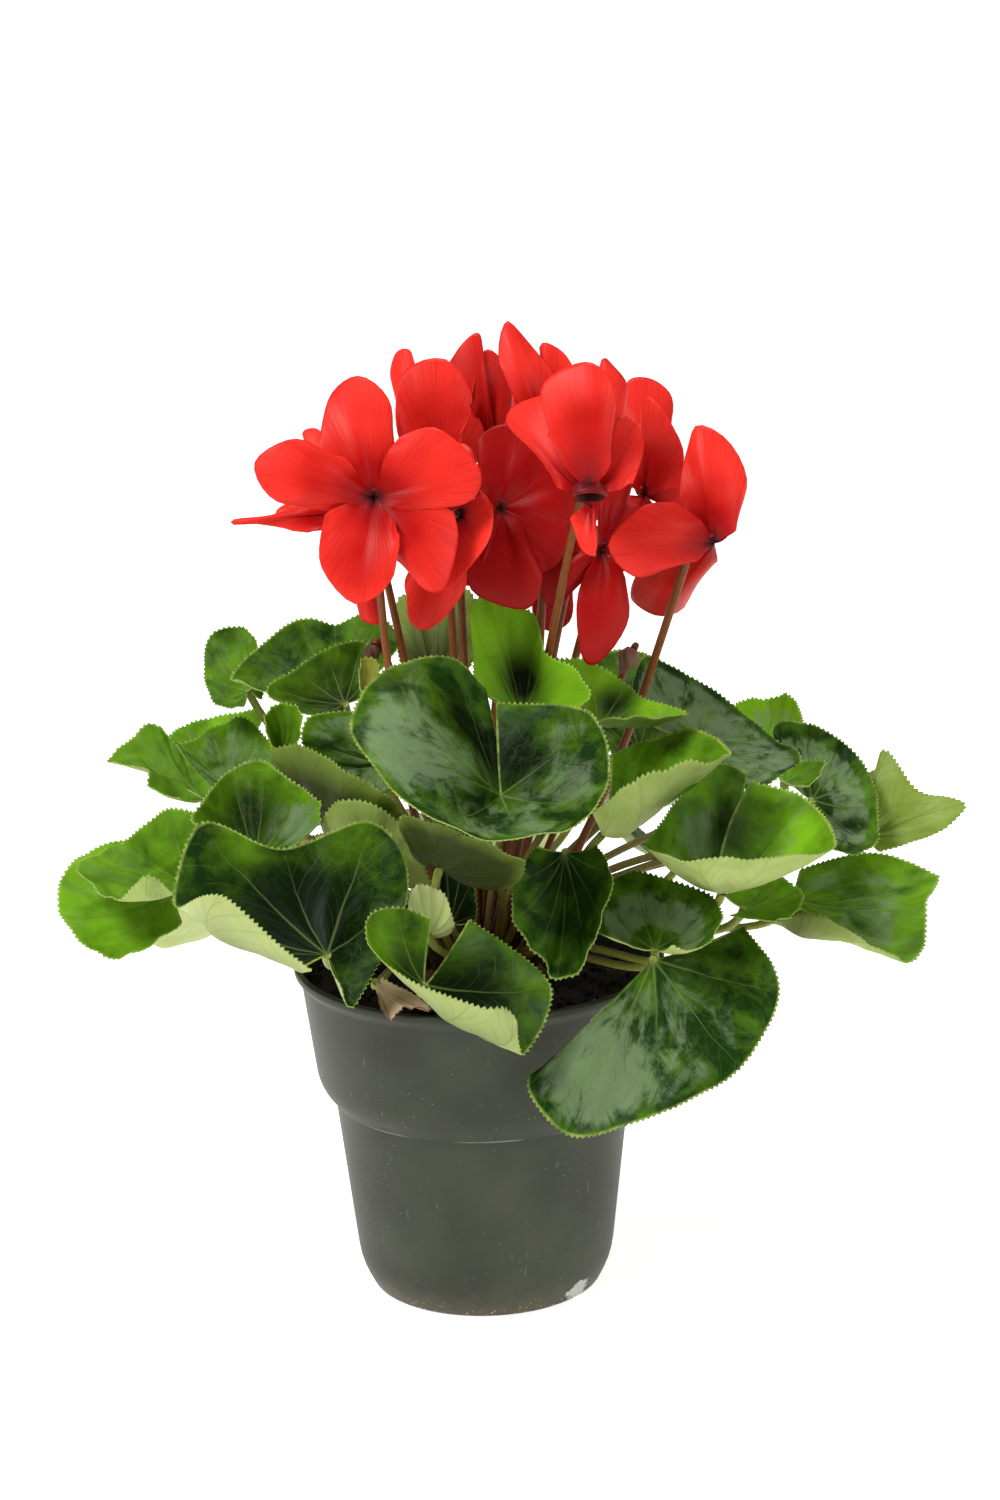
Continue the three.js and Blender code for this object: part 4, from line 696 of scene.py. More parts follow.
def tooth_columns(leaf):
    """Vein numbers of the tooth bases and tips, evenly spaced along the edge."""
    fine = np.linspace(0, LAST_VEIN, EDGE_SAMPLES)
    run = np.concatenate([[0], np.cumsum(lengths(np.diff(rim_of(leaf, fine), axis=0))[:, 0])])
    teeth = max(FEWEST_TEETH, round(run[-1] / TOOTH_PITCH))
    return np.interp(np.linspace(0, run[-1], 2 * teeth + 1), run, fine)


def blade_paint(name, grid, along):
    """How fresh, silver and shaded each point is: the leaf's own look and its patches."""
    fresh, silver, shade = LOOKS.get(name, LOOKS["far_side"])
    silver_from, silver_to = SILVER_BANDS.get(name, SILVER_BANDS["far_side"])
    inside = np.clip((along - silver_from) / BAND_FADES_IN, 0, 1)
    inside = inside * np.clip((silver_to - along) / BAND_FADES_OUT, 0, 1)
    paint = np.stack([fresh * (1 + EDGE_FRESHER * along ** 2), silver * inside,
                      shade * np.clip(1.15 - along, 0, 1)], -1)
    for kind, vein, out, reach, strength in PATCHES.get(name, ()):
        centre = blade_grid(leaves[name], np.array([float(vein)]), np.array([[out]]))[0, 0]
        off = lengths(grid - centre)[..., 0] / (reach * MM)
        paint[..., ("fresh", "silver", "shade").index(kind)] += strength * np.exp(-off ** 3)
    return np.clip(paint, 0, MOST_PAINT)


def blade_relief(across, along, reach, seed):
    """How far the tissue stands off the smooth blade: puckers, two waves of the ruffle, crinkles."""
    lift = PUCKER * np.sin(np.pi * across) ** 2 * np.sin(np.pi * np.minimum(along, 1))
    lift = lift + RUFFLE * along ** 3 * np.sin(2.1 * np.pi * across + seed)
    lift = lift + RUFFLE * along ** 5 * np.sin(0.9 * np.pi * across + 2.3 * seed)
    lift = lift + CRINKLE * along * np.sin(11 * across + seed) * np.sin(14 * along + 3 * across + seed)
    return (lift * np.minimum(1, reach / FULL_RELIEF_REACH))[..., None]


def make_leaf(name, leaf, seed):
    """One blade as a thin surface of rings round its stalk, the last of them the toothed edge."""
    across = tooth_columns(leaf)
    reach = lengths(rim_of(leaf, across) - leaf["stalk"])[:, 0]
    teeth = 1 - TOOTH_DEPTH / reach * (np.arange(across.size) % 2 == 0)
    along = np.vstack([np.outer(RINGS, 1 - EDGE_STRIP / reach), teeth])
    grid = blade_grid(leaf, across, along)
    points = grid + grid_normals(grid) * blade_relief(across, along, reach, seed)
    spread = lengths(np.gradient(grid, axis=1))[..., 0] / np.gradient(across)
    fan = np.stack([np.broadcast_to(across, along.shape), along, spread], -1)
    paint = blade_paint(name, grid, along)
    rows, columns = along.shape
    faces = grid_faces(rows, columns)
    faces += [[rows * columns, i, i + 1] for i in range(columns - 1)]
    points = np.vstack([points.reshape(-1, 3), leaf["stalk"]])
    marks = {"fan": np.vstack([fan.reshape(-1, 3), [MIDDLE_VEIN, 0, 0]]),
             "paint": np.vstack([paint.reshape(-1, 3), paint[0].mean(0)])}
    materials, slot = BLADE_MATERIALS.get(name, BLADE_MATERIALS["leaf"])
    piece = new_piece(f"blade_{name}", points, faces, materials, [f"leaf_{name}"], marks)
    thicken(piece, BLADE_THICKNESS, material_offset=1, rim_offset=2)
    return len(faces)


# upper face, underside and edge of each kind of blade, and its material slot
BLADE_MATERIALS = {
    "leaf": ([LEAF_UPPER, LEAF_UNDER, LEAF_EDGE], "leaf"),
    "young": ([YOUNG_UPPER, YOUNG_UNDER, LEAF_EDGE], "young_leaf"),
    "withered": ([WITHERED_UPPER, WITHERED_UNDER, WITHERED_UNDER], "withered_leaf"),
}
count = sum(make_leaf(name, leaf, i * SEED_STEP) for i, (name, leaf) in enumerate(leaves.items()))
print("blade faces:", count)

# %% [markdown]
# ## The finish of a petal
# A petal is thin and satiny, and its red is lit from in front and from behind at once. It is painted
# lighter towards the tip and in soft clouds, partly its own paler tip and partly painted highlight, and
# deeper red over its lower half, partly its own and partly painted shade near the mouth. Blooms that
# stand among and behind the others are painted a deeper red all over, which is painted shade. Fine
# darker veins run the length of it, and the base is dark, almost maroon, where it joins the throat.
# The attribute "petal" gives the place across the petal in metres, the place along it from 0 to 1,
# and how much painted shade it has.

# %% Petals, throat and bud
PETAL_VEIN, VEIN_STRETCH = 0.55 * MM, 1.6
PETAL_CLOUDS, TIP_LIGHTENS, PETAL_THROUGH = 18 * MM, 0.75, 0.3
HIGHLIGHT_SHOWS, LINES_SHOW = (0.62, 1.32, 0.0, 1.0), (0.5, 0.72, 0.0, 0.25)
DEEP_SHOWS, DARK_SHOWS = (0.05, 0.48, 0.85, 0.0), (0.03, 0.17, 0.95, 0.0)


def petal_skin(name, red, bright, deep, base):
    material, tree, body = new_material(name)
    own = add(tree, "Attribute", attribute_name="petal")
    sideways, along, crimson_shade = add(tree, "SeparateXYZ", [own.outputs["Vector"]]).outputs
    sideways = add(tree, "Math", [sideways, PETAL_VEIN], operation="DIVIDE")
    lengthwise = add(tree, "Math", [along, VEIN_STRETCH], operation="MULTIPLY")
    strip = add(tree, "CombineXYZ", [sideways, lengthwise, 0.0])
    veins = add(tree, "TexNoise", {"Vector": strip, "Scale": 1.0, "Detail": 2.0})
    clouds = add(tree, "TexNoise", {"Vector": body, "Scale": 1 / PETAL_CLOUDS, "Detail": 1.0})
    # lighter towards the tip and in soft clouds: partly the petal's own paler tip, partly painted highlight
    light = add(tree, "Math", [along, TIP_LIGHTENS, clouds], operation="MULTIPLY_ADD")
    light = add(tree, "MapRange", [light, *HIGHLIGHT_SHOWS])
    lines = add(tree, "MapRange", [veins, *LINES_SHOW])
    # deeper red over the lower half: partly the petal's own, partly painted shade near the mouth; blooms in
    # the shade get painted shade all over
    inner = add(tree, "MapRange", [along, *DEEP_SHOWS], interpolation_type="SMOOTHSTEP")
    inner = add(tree, "Math", [inner, crimson_shade], operation="MAXIMUM")
    dark = add(tree, "MapRange", [along, *DARK_SHOWS], interpolation_type="SMOOTHSTEP")
    colour = linear(red)
    for share, laid_over in ((light, bright), (lines, deep), (inner, deep), (dark, base)):
        colour = add(tree, "Mix", [share, colour, linear(laid_over)], data_type="RGBA")
    bump = add(tree, "Bump", {"Height": veins, "Strength": 0.4, "Distance": 0.3 * MM})
    surface = {"Roughness": 0.4, "IOR": 1.4, "Specular IOR Level": 0.24, "Sheen Weight": 0.03,
               "Sheen Roughness": 0.4, "Sheen Tint": linear("ff8a80")}
    finish(tree, colour, bump, surface, PETAL_THROUGH)
    return material


PETAL = petal_skin("petal_satin_red", red="bc0603", bright="f8382c", deep="940003", base="2c0308")


def mottled(name, one, other, size, roughness, height=0.3, stretch=(1, 1, 1)):
    """A surface that wanders between two colours, over size and with relief height in millimetres."""
    material, tree, body = new_material(name)
    placed = add(tree, "Mapping", {"Vector": body, "Scale": stretch})
    clouds = add(tree, "TexNoise", {"Vector": placed, "Scale": 1 / (size * MM), "Detail": 4.0})
    share = add(tree, "MapRange", [clouds, 0.35, 0.65])
    colour = add(tree, "Mix", [share, linear(one), linear(other)], data_type="RGBA")
    bump = add(tree, "Bump", {"Height": clouds, "Strength": 0.5, "Distance": height * MM})
    finish(tree, colour, bump, {"Roughness": roughness, "IOR": 1.45, "Specular IOR Level": 0.25})
    return material


ALONG_BUD = (1, 1, 0.3)
THROAT = mottled("throat_maroon", "4a060a", "1c0204", 2, 0.5)
TUBE = mottled("flower_tube_crimson", "7e0e12", "540a0c", 3, 0.45)
CALYX = mottled("calyx_olive", "5d5a2c", "6b3a26", 2, 0.55)
BUD_SKIN = mottled("bud_furled_brown_green", "6f6648", "7a463c", 2, 0.5, stretch=ALONG_BUD)
# the left bud stands in the shade: its skin is a darker copy of the other bud's, painted shade
BUD_IN_SHADE = mottled("bud_furled_brown", "5c3a24", "38241a", 2, 0.55, stretch=ALONG_BUD)
print("flower finishes ready")

# %% [markdown]
# ## The blooms
# A cyclamen flower hangs with its mouth down while five broad petals sweep back and up from it.
# Each bloom is noted by its mouth, the way the mouth faces, and its petals: a petal is the places
# round its edge, from one side of its base over the tip to the other side. A bloom that is open
# shows its throat, so its petals start at the throat's rim. lean pushes its stalk aside, in
# millimetres, and arrive is a place that the stalk comes up through.

# %% The blooms' places
BLOOMS = {
    "front_left": {"mouth": (374, 498, 30), "faces": (0, -0.85, -0.5), "lean": (-20, 0, 0), "petals": [
        [(395, 448, 24), (389, 402, 16), (358, 376, 12), (330, 395, 16), (322, 445, 22)],
        [(328, 452, 28), (290, 440, 32), (254, 462, 34), (272, 497, 36), (325, 507, 34)],
        [(325, 515, 38), (320, 565, 42), (355, 604, 46), (392, 580, 46), (396, 535, 42)],
        [(398, 560, 38), (420, 586, 42), (443, 589, 42), (459, 540, 36), (454, 512, 32)],
        [(425, 508, 34), (470, 500, 32), (480, 468, 30), (440, 429, 26), (400, 437, 26)],
    ]},
    "behind_left": {"mouth": (345, 512, -14), "faces": (-0.3, -0.6, -0.74), "petals": [
        [(300, 504, -12), (265, 516, -10), (231, 523, -8), (262, 526, -8), (305, 531, -6)],
        [(322, 446, -24), (318, 431, -28), (303, 431, -28), (306, 445, -24), (320, 470, -20)],
        [(364, 606, -4), (362, 620, -2), (370, 624, 0), (380, 622, -2), (383, 603, -6)],
        [(372, 440, -20), (360, 415, -24), (340, 410, -26), (325, 430, -24), (330, 460, -18)],
        [(318, 500, -18), (292, 503, -16), (276, 514, -14), (290, 521, -12), (318, 522, -11)],
    ]},
    "top_left": {"mouth": (440, 478, -8), "faces": (0, -0.8, -0.6), "petals": [
        [(461, 432, -6), (473, 396, -12), (445, 360, -16), (403, 373, -14), (395, 425, -4)],
        [(417, 366, -30), (410, 351, -32), (396, 354, -32), (389, 372, -30), (398, 392, -26)],
        [(480, 460, -20), (482, 430, -28), (470, 405, -32), (455, 420, -26), (450, 450, -18)],
        [(392, 500, -6), (385, 530, -4), (402, 548, -4), (420, 540, -4), (430, 510, -6)],
        [(445, 520, -8), (450, 552, -6), (466, 560, -6), (478, 545, -6), (470, 505, -8)],
    ]},
    "top_back": {"mouth": (490, 452, -32), "faces": (0.1, -0.7, -0.7), "lean": (20, 0, 0), "petals": [
        [(477, 395, -33), (484, 354, -37), (478, 333, -40), (460, 347, -38), (447, 365, -36)],
        [(505, 428, -34), (514, 392, -38), (500, 360, -40), (484, 351, -38), (472, 396, -30)],
        [(530, 440, -46), (530, 410, -52), (515, 395, -54), (500, 410, -50), (500, 435, -44)],
        [(475, 480, -30), (480, 520, -24), (500, 532, -22), (515, 515, -24), (510, 480, -28)],
        [(455, 460, -34), (440, 425, -38), (450, 405, -40), (465, 410, -38), (478, 435, -34)],
    ]},
    "top_middle": {"mouth": (548, 440, -12), "faces": (0.1, -0.8, -0.6), "lean": (20, 20, 0), "petals": [
        [(562, 392, -16), (541, 358, -20), (508, 320, -22), (500, 358, -18), (514, 400, -10)],
        [(580, 380, -26), (565, 352, -30), (543, 344, -30), (546, 368, -28), (556, 395, -22)],
        [(600, 430, -26), (605, 395, -30), (590, 370, -32), (570, 380, -28), (565, 410, -22)],
        [(515, 402, -8), (504, 424, -4), (500, 448, -2), (520, 462, -2), (540, 455, -6)],
        [(550, 480, -12), (560, 510, -12), (585, 512, -14), (590, 485, -16), (575, 455, -16)],
    ]},
    "centre": {"mouth": (590, 497, 42), "faces": (0, -0.85, -0.5), "lean": (0, 20, 0), "open": True,
        "petals": [
        [(610, 445, 42), (611, 385, 38), (585, 361, 36), (543, 385, 34), (550, 432, 40)],
        [(628, 482, 40), (644, 450, 34), (640, 430, 30), (620, 417, 28), (611, 440, 32)],
        [(545, 395, 22), (520, 402, 20), (508, 420, 20), (527, 447, 26), (553, 472, 34)],
        [(570, 520, 46), (580, 545, 48), (592, 556, 50), (597, 551, 50), (591, 518, 46)],
        [(624, 410, 10), (625, 383, 6), (612, 362, 4), (603, 362, 4), (606, 395, 12)],
    ]},
    "back_right": {"mouth": (645, 495, -22), "faces": (0.2, -0.7, -0.7), "petals": [
        [(674, 484, -10), (684, 452, -12), (664, 412, -14), (648, 396, -16), (642, 406, -18),
         (656, 440, -16)],
        [(671, 425, -34), (670, 395, -38), (652, 378, -40), (628, 382, -38), (622, 410, -32)],
        [(668, 480, -20), (664, 450, -24), (645, 425, -28), (625, 440, -26), (622, 475, -22)],
        [(615, 500, -22), (612, 525, -18), (630, 545, -14), (655, 540, -14), (660, 515, -18)],
        [(690, 520, -26), (700, 490, -34), (690, 462, -38), (676, 470, -34), (668, 500, -28)],
    ]},
    "right": {"mouth": (714, 543, 18), "faces": (0.5, -0.7, -0.5), "lean": (16, 24, -10),
        "arrive": (676, 570, 16), "petals": [
        [(737, 522, 14), (748, 482, 10), (728, 443, 6), (697, 425, 4), (685, 452, 6), (680, 487, 12)],
        [(674, 503, 18), (640, 509, 22), (608, 545, 26), (636, 577, 26), (682, 556, 22)],
        [(640, 575, -16), (632, 600, -18), (655, 616, -20), (684, 604, -20), (697, 562, -14)],
        [(730, 520, -6), (745, 490, -12), (735, 462, -18), (718, 462, -18), (712, 500, -8)],
        [(708, 505, 0), (704, 470, -8), (692, 455, -10), (684, 480, -8), (690, 512, 0)],
    ]},
    "middle_left": {"mouth": (462, 515, 14), "faces": (0.1, -0.7, -0.7), "petals": [
        [(443, 572, 30), (443, 590, 32), (470, 567, 32), (490, 540, 30), (492, 510, 26), (482, 490, 20)],
        [(409, 585, 24), (408, 615, 24), (423, 630, 26), (445, 618, 26), (461, 588, 22)],
        [(474, 482, 6), (472, 452, 0), (460, 442, -2), (446, 456, 2), (448, 490, 6)],
        [(425, 590, 14), (411, 600, 12), (405, 580, 12), (415, 560, 12), (440, 545, 14)],
        [(430, 570, 4), (428, 600, 2), (442, 612, 0), (456, 600, 2), (460, 560, 6)],
    ]},
    "inner": {"mouth": (500, 508, 6), "faces": (-0.2, -0.75, -0.6), "petals": [
        [(550, 470, 4), (545, 435, 0), (510, 424, -2), (478, 440, 2), (478, 485, 6)],
        [(560, 545, 10), (578, 510, 8), (572, 478, 4), (550, 458, 2), (520, 470, 4)],
        [(505, 560, 14), (530, 573, 14), (556, 566, 12), (570, 540, 10), (560, 515, 8)],
        [(464, 560, 16), (475, 594, 18), (526, 610, 18), (541, 580, 16), (535, 555, 12)],
        [(462, 530, 14), (460, 560, 16), (466, 585, 16), (480, 575, 16), (488, 540, 12)],
    ]},
    "hanging": {"mouth": (602, 550, 8), "faces": (0.3, -0.6, -0.74), "petals": [
        [(578, 610, 14), (583, 659, 16), (601, 662, 16), (626, 622, 14), (625, 580, 10)],
        [(618, 575, 6), (640, 560, 4), (650, 530, 0), (640, 505, -2), (612, 510, 2)],
        [(630, 500, -4), (636, 470, -8), (615, 462, -8), (600, 485, -2), (604, 520, 4)],
        [(574, 532, 4), (562, 508, 0), (552, 505, 0), (546, 525, 2), (560, 548, 6)],
        [(560, 556, 2), (540, 575, 4), (543, 600, 6), (560, 605, 6), (580, 580, 6)],
    ]},
    "back_low": {"mouth": (556, 540, -44), "faces": (0, 0.7, -0.7), "petals": [
        [(535, 590, -40), (535, 620, -40), (552, 632, -40), (570, 620, -40), (572, 590, -40)],
        [(530, 520, -52), (508, 535, -58), (496, 562, -62), (512, 585, -56), (535, 575, -48)],
        [(570, 570, -50), (590, 588, -60), (604, 565, -68), (595, 535, -64), (575, 520, -52)],
        [(560, 500, -54), (552, 460, -64), (530, 438, -70), (510, 465, -66), (525, 505, -54)],
        [(600, 510, -62), (612, 465, -74), (592, 438, -80), (570, 460, -76), (566, 500, -60)],
    ]},
}
print("petals:", sum(len(spec["petals"]) for spec in BLOOMS.values()))

# %% [markdown]
# A petal is a fan of rays from the throat to a smooth curve through its edge. Its middle bows
# towards the front, its sides are full near the base so that petals overlap there, and it has a
# shallow crease down the middle, a fold here and there and a margin that waves.

# %% Petals
CLOSED_THROAT, OPEN_THROAT, TUBE_LENGTH, TUBE_SIDES = 2.4 * MM, 4.2 * MM, 7 * MM, 20
MOUTH_SHAPE = np.array([1.25, 1.0, 0.6])
PETAL_START = 0.8
# painted shade: a deeper red on blooms that stand inside the plant and behind others
SHADED_BLOOMS = {"inner": 0.85, "hanging": 0.65, "back_low": 0.7, "top_back": 0.2, "back_right": 0.12}
PETAL_BOW, PETAL_FULLNESS = 0.11, 0.13
PETAL_THICKNESS = 0.4 * MM
PETAL_CREASE, PETAL_FOLD, PETAL_WAVE = 0.5 * MM, 0.45 * MM, 0.7 * MM
PETAL_GRID, FIRST_ROW = (34, 27), 0.02
BLOOM_SEED_STEP = 3.1


def petal_relief(column, along, seed):
    """How far the petal stands off its smooth bow: the crease, folds, and waves of side and tip."""
    lift = PETAL_CREASE * np.exp(-(column / 0.12) ** 2) * np.sin(np.pi * np.minimum(along * 1.1, 1))
    lift = lift - PETAL_FOLD * np.sin(3.3 * column + seed) * np.sin(np.pi * along)
    lift = lift + PETAL_WAVE * np.abs(column) ** 3 * np.sin(9 * along + seed + 2 * np.sign(column))
    lift = lift + PETAL_WAVE * along ** 4 * np.sin(5 * column + 1.7 * seed)
    return lift[..., None]


def petal_grid(mouth, rim, crimson_shade, edge, seed):
    """Points of one petal from its base to its edge, and the three marks that its finish reads."""
    edge = seen(edge)
    last = len(edge) - 1
    spine = edge[(last + 1) // 2] - mouth
    length = np.linalg.norm(spine)
    centre = mouth + unit(spine) * rim * MOUTH_SHAPE
    face = unit(EYE - centre)
    sideways = unit(np.cross(face, spine))
    place = (np.arange(last + 1) + 0.5) / (last + 1)
    bow = PETAL_BOW * length * np.sin(np.pi * place)
    full = PETAL_FULLNESS * length * (2 * place - 1) ** 3
    middles = (centre + edge) / 2 + face * bow[:, None] + sideways * full[:, None]
    rows, columns = PETAL_GRID
    column = np.sin(np.linspace(-np.pi / 2, np.pi / 2, columns))
    across = (column + 1) / 2 * last
    tip, middle = smooth_between(edge, across), smooth_between(middles, across)
    a = np.linspace(FIRST_ROW, 1, rows)[:, None, None]
    grid = 2 * (a - 0.5) * (a - 1) * centre + 4 * a * (1 - a) * middle + 2 * a * (a - 0.5) * tip
    along, column = a[..., 0], column[None, :]
    grid = grid - grid_normals(grid) * petal_relief(column, along, seed)
    half = np.linalg.norm(edge[-1] - edge[0]) / 2
    return grid, np.stack(np.broadcast_arrays(column * half, along, crimson_shade), -1)


def tube_profile(radius, lip):
    """Radius and height of the flower's tube, from the stalk out to its lip and back inside."""
    outside = [(0.2 * MM, -TUBE_LENGTH), (0.6 * radius, -6.6 * MM), (radius, -5 * MM),
               (1.05 * radius, -3 * MM), (radius, -1.6 * MM), (0.95 * radius, lip)]
    return outside + [(0.8 * radius, lip), (0.7 * radius, -2.4 * MM), (0.2 * MM, -3.8 * MM)]


def make_bloom(name, spec, seed):
    """One flower: its petals, and the tube that joins them to the stalk."""
    mouth, axis = seen(spec["mouth"])[0], unit(np.array(spec["faces"], float))
    rim = OPEN_THROAT * ("open" in spec)
    parts = []
    for number, edge in enumerate(spec["petals"]):
        grid, own = petal_grid(mouth, rim * PETAL_START, SHADED_BLOOMS.get(name, 0), edge, seed + number)
        parts.append((grid, grid_faces(*PETAL_GRID), own, 0))
    tube = tube_profile(rim or CLOSED_THROAT, 0 if rim else -1.2 * MM)
    grid = lathe_grid(tube, TUBE_SIDES, mouth, axis, MOUTH_SHAPE if rim else 1)
    kinds = np.repeat([2, 2, 1, 1, 1, 1, 3, 3], TUBE_SIDES)
    parts.append((grid, grid_faces(len(tube), TUBE_SIDES, ring=True), 0, kinds))
    points, faces, marks, kinds = joined(parts)
    piece = new_piece(f"flower_{name}", points, faces, [PETAL, TUBE, CALYX, THROAT],
                      [f"bloom_{name}"], {"petal": marks}, kinds)
    thicken(piece, PETAL_THICKNESS)
    return len(faces)


count = sum(make_bloom(name, spec, BLOOM_SEED_STEP * i) for i, (name, spec) in enumerate(BLOOMS.items()))
print("blooms:", len(BLOOMS), "faces:", count)

# %% [markdown]
# ## Tuber and stalks
# All stalks grow from the crown of one corky tuber that sits half in the peat. A stalk is a round
# rod along a smooth curve: it leaves the crown, leans towards where it goes and bends to meet the
# blade from below, or hooks over into the back of a flower. Flower stalks are red-brown and leaf
# stalks run from red-brown at the foot to yellow-green at the blade.

# %% The finish of a stalk
STREAK_SIZE, ALONG_STALK = 0.9 * MM, (1, 1, 0.15)
MIDDLE_SHOWS, END_SHOWS, STREAKS_SHOW = (0.0, 0.45, 0.0, 1.0), (0.5, 1.0, 0.0, 1.0), (0.45, 0.75, 0.0, 0.35)


def stalk_skin(name, foot, middle, end, streak="3a1c0e"):
    """The attribute "stalk" gives the place along it from foot to end."""
    material, tree, body = new_material(name)
    own = add(tree, "Attribute", attribute_name="stalk")
    along = add(tree, "SeparateXYZ", [own.outputs["Vector"]])
    placed = add(tree, "Mapping", {"Vector": body, "Scale": ALONG_STALK})
    streaks = add(tree, "TexNoise", {"Vector": placed, "Scale": 1 / STREAK_SIZE, "Detail": 3.0})
    colour = linear(foot)
    for value, shows, laid_over in ((along, MIDDLE_SHOWS, middle), (along, END_SHOWS, end),
                                    (streaks, STREAKS_SHOW, streak)):
        share = add(tree, "MapRange", [value, *shows])
        colour = add(tree, "Mix", [share, colour, linear(laid_over)], data_type="RGBA")
    bump = add(tree, "Bump", {"Height": streaks, "Strength": 0.3, "Distance": 0.2 * MM})
    finish(tree, colour, bump, {"Roughness": 0.45, "IOR": 1.45, "Specular IOR Level": 0.25})
    return material


FLOWER_STALK = stalk_skin("flower_stalk_red_brown", "48260e", "80481a", "683612")
LEAF_STALK = stalk_skin("leaf_stalk_green", "34190c", "6c642a", "84903c")
CORK = mottled("tuber_cork", "5e4630", "33261a", 2.5, 0.9, height=1.0)
print("stalk finishes ready")

# %% The curves of the stalks
TUBER_RADIUS, TUBER_TOP, TUBER_BOTTOM, TUBER_SIDES = 23 * MM, 108 * MM, 88 * MM, 60
CROWN_RADIUS, CROWN_SPREAD, ROOT_DEPTH, GOLDEN = 19 * MM, 3 * MM, 5 * MM, 0.618
LEAF_STALK_RADIUS, FLOWER_STALK_RADIUS, BUD_STALK_RADIUS = 1.4 * MM, 1.45 * MM, 1.2 * MM
LEAF_STALK_RISE, LEAF_STALK_ARRIVAL, FLOWER_RISE = 0.4, 0.3, 0.4
FLOWER_HOOK, BUD_HOOK = 18 * MM, 12 * MM
# a stalk ends just under its blade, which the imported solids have 0.8 mm thick
CAD_BLADE_THICKNESS, STALK_END_GAP, FLOWER_END_GAP = 0.8 * MM, 0.5 * MM, 0.75 * MM
NEAR_STALK, NEAR_SAMPLES = 0.3, 33
STALK_STEPS, STALK_SIDES = 26, 10
curves = []


def root_at(target):
    """Where on the crown the next stalk starts: towards its target, and further out if it leans."""
    away = math.atan2(target[1], target[0])
    lean = math.atan2(math.hypot(target[0], target[1]), target[2] - TUBER_TOP)
    uneven = (len(curves) * GOLDEN) % 1 - 0.5
    out = CROWN_RADIUS * min(1, 2 * lean / math.pi) + CROWN_SPREAD * uneven
    return np.array([out * math.cos(away), out * math.sin(away), TUBER_TOP - ROOT_DEPTH])


def leaf_stalk(leaf):
    """A stalk that meets its blade square on, from below."""
    around = np.linspace(0, LAST_VEIN, NEAR_SAMPLES)
    spokes = blade_grid(leaf, around, np.array([[NEAR_STALK]]))[0] - leaf["stalk"]
    normal = unit(np.cross(spokes[:-1], spokes[1:]).sum(0))
    root = root_at(leaf["stalk"] - normal * (CAD_BLADE_THICKNESS / 2 + STALK_END_GAP))
    span = np.linalg.norm(root - leaf["stalk"])
    rise = root + UP * LEAF_STALK_RISE * span + np.array(leaf["lean"]) * MM
    arrive = leaf["stalk"] - normal * LEAF_STALK_ARRIVAL * span
    curves.append((root, rise, arrive, leaf["stalk"], LEAF_STALK_RADIUS, 1))


def flower_stalk(back, arrive, lean, radius):
    root = root_at(back)
    rise = root + FLOWER_RISE * (back - root) + np.array(lean) * MM
    curves.append((root, rise, arrive, back, radius, 0))


for leaf in leaves.values():
    leaf_stalk(leaf)
for spec in BLOOMS.values():
    axis = unit(np.array(spec["faces"], float))
    back = seen(spec["mouth"])[0] - axis * (TUBE_LENGTH + FLOWER_END_GAP)
    arrive = seen(spec["arrive"])[0] if "arrive" in spec else back - axis * FLOWER_HOOK
    flower_stalk(back, arrive, spec.get("lean", STRAIGHT), FLOWER_STALK_RADIUS)
print("stalks to leaves and blooms:", len(curves))

# %% [markdown]
# ## Flower buds
# Two buds hang furled from their hooked stalks, one beside the right bloom and one on the left in
# the shade. A bud is a pointed spindle whose petals wind round each other, so its sides are fluted.

# %% Buds
BUDS = {
    "right": {"neck": (633, 650, -16), "tip": (620, 674, -12), "radius": 3.4, "lean": (0, 30, 0),
              "skin": BUD_SKIN},
    "left": {"neck": (374, 646, -14), "tip": (368, 666, -11), "radius": 2.6, "lean": (0, 10, 0),
             "skin": BUD_IN_SHADE},
}
BUD_SIDES, BUD_ROWS, BUD_FLUTES, BUD_FLUTE_DEPTH, BUD_TWIST = 30, 22, 5, 0.1, 2.2


def make_bud(name, spec):
    """One furled bud: a fluted spindle closed at both ends, and the curve of its stalk."""
    neck, tip = seen(spec["neck"])[0], seen(spec["tip"])[0]
    axis, length = unit(tip - neck), np.linalg.norm(tip - neck)
    t = np.linspace(0.0, 1, BUD_ROWS)
    girth = spec["radius"] * MM * np.sin(np.pi * np.minimum(1, 0.12 + 0.9 * t) ** 0.8) ** 0.8
    grid = lathe_grid(list(zip(girth, t * length)), BUD_SIDES, neck, axis)
    turn = full_turn(BUD_SIDES)[None, :] + BUD_TWIST * t[:, None]
    middle = (neck + axis * (t * length)[:, None])[:, None]
    grid = middle + (grid - middle) * (1 + BUD_FLUTE_DEPTH * np.cos(BUD_FLUTES * turn))[..., None]
    points = np.vstack([grid.reshape(-1, 3), [neck, tip]])
    faces = grid_faces(BUD_ROWS, BUD_SIDES, ring=True)
    count = BUD_ROWS * BUD_SIDES
    for i in range(BUD_SIDES):
        after = (i + 1) % BUD_SIDES
        faces += [[count, i, after], [count + 1, count - BUD_SIDES + after, count - BUD_SIDES + i]]
    new_piece(f"bud_{name}_furled", points, faces, [spec["skin"]], [f"bud_{name}"])
    back = neck - axis * STALK_END_GAP
    flower_stalk(back, back - axis * BUD_HOOK, spec["lean"], BUD_STALK_RADIUS)


for name, spec in BUDS.items():
    make_bud(name, spec)
print("buds:", list(BUDS))

# %% Tuber and all stalks as one piece
FOOT_SWELL, STALK_WAIST, TUBER_BUMP = 0.35, 0.12, 0.35 * MM
# share of the tuber's radius, height in millimetres
TUBER_PROFILE = [(0.7, 90), (0.95, 95), (1, 100), (0.96, 103), (0.85, 106), (0.6, 107.6)]
TUBER_MIDDLE = np.array([0, 0, 98 * MM])


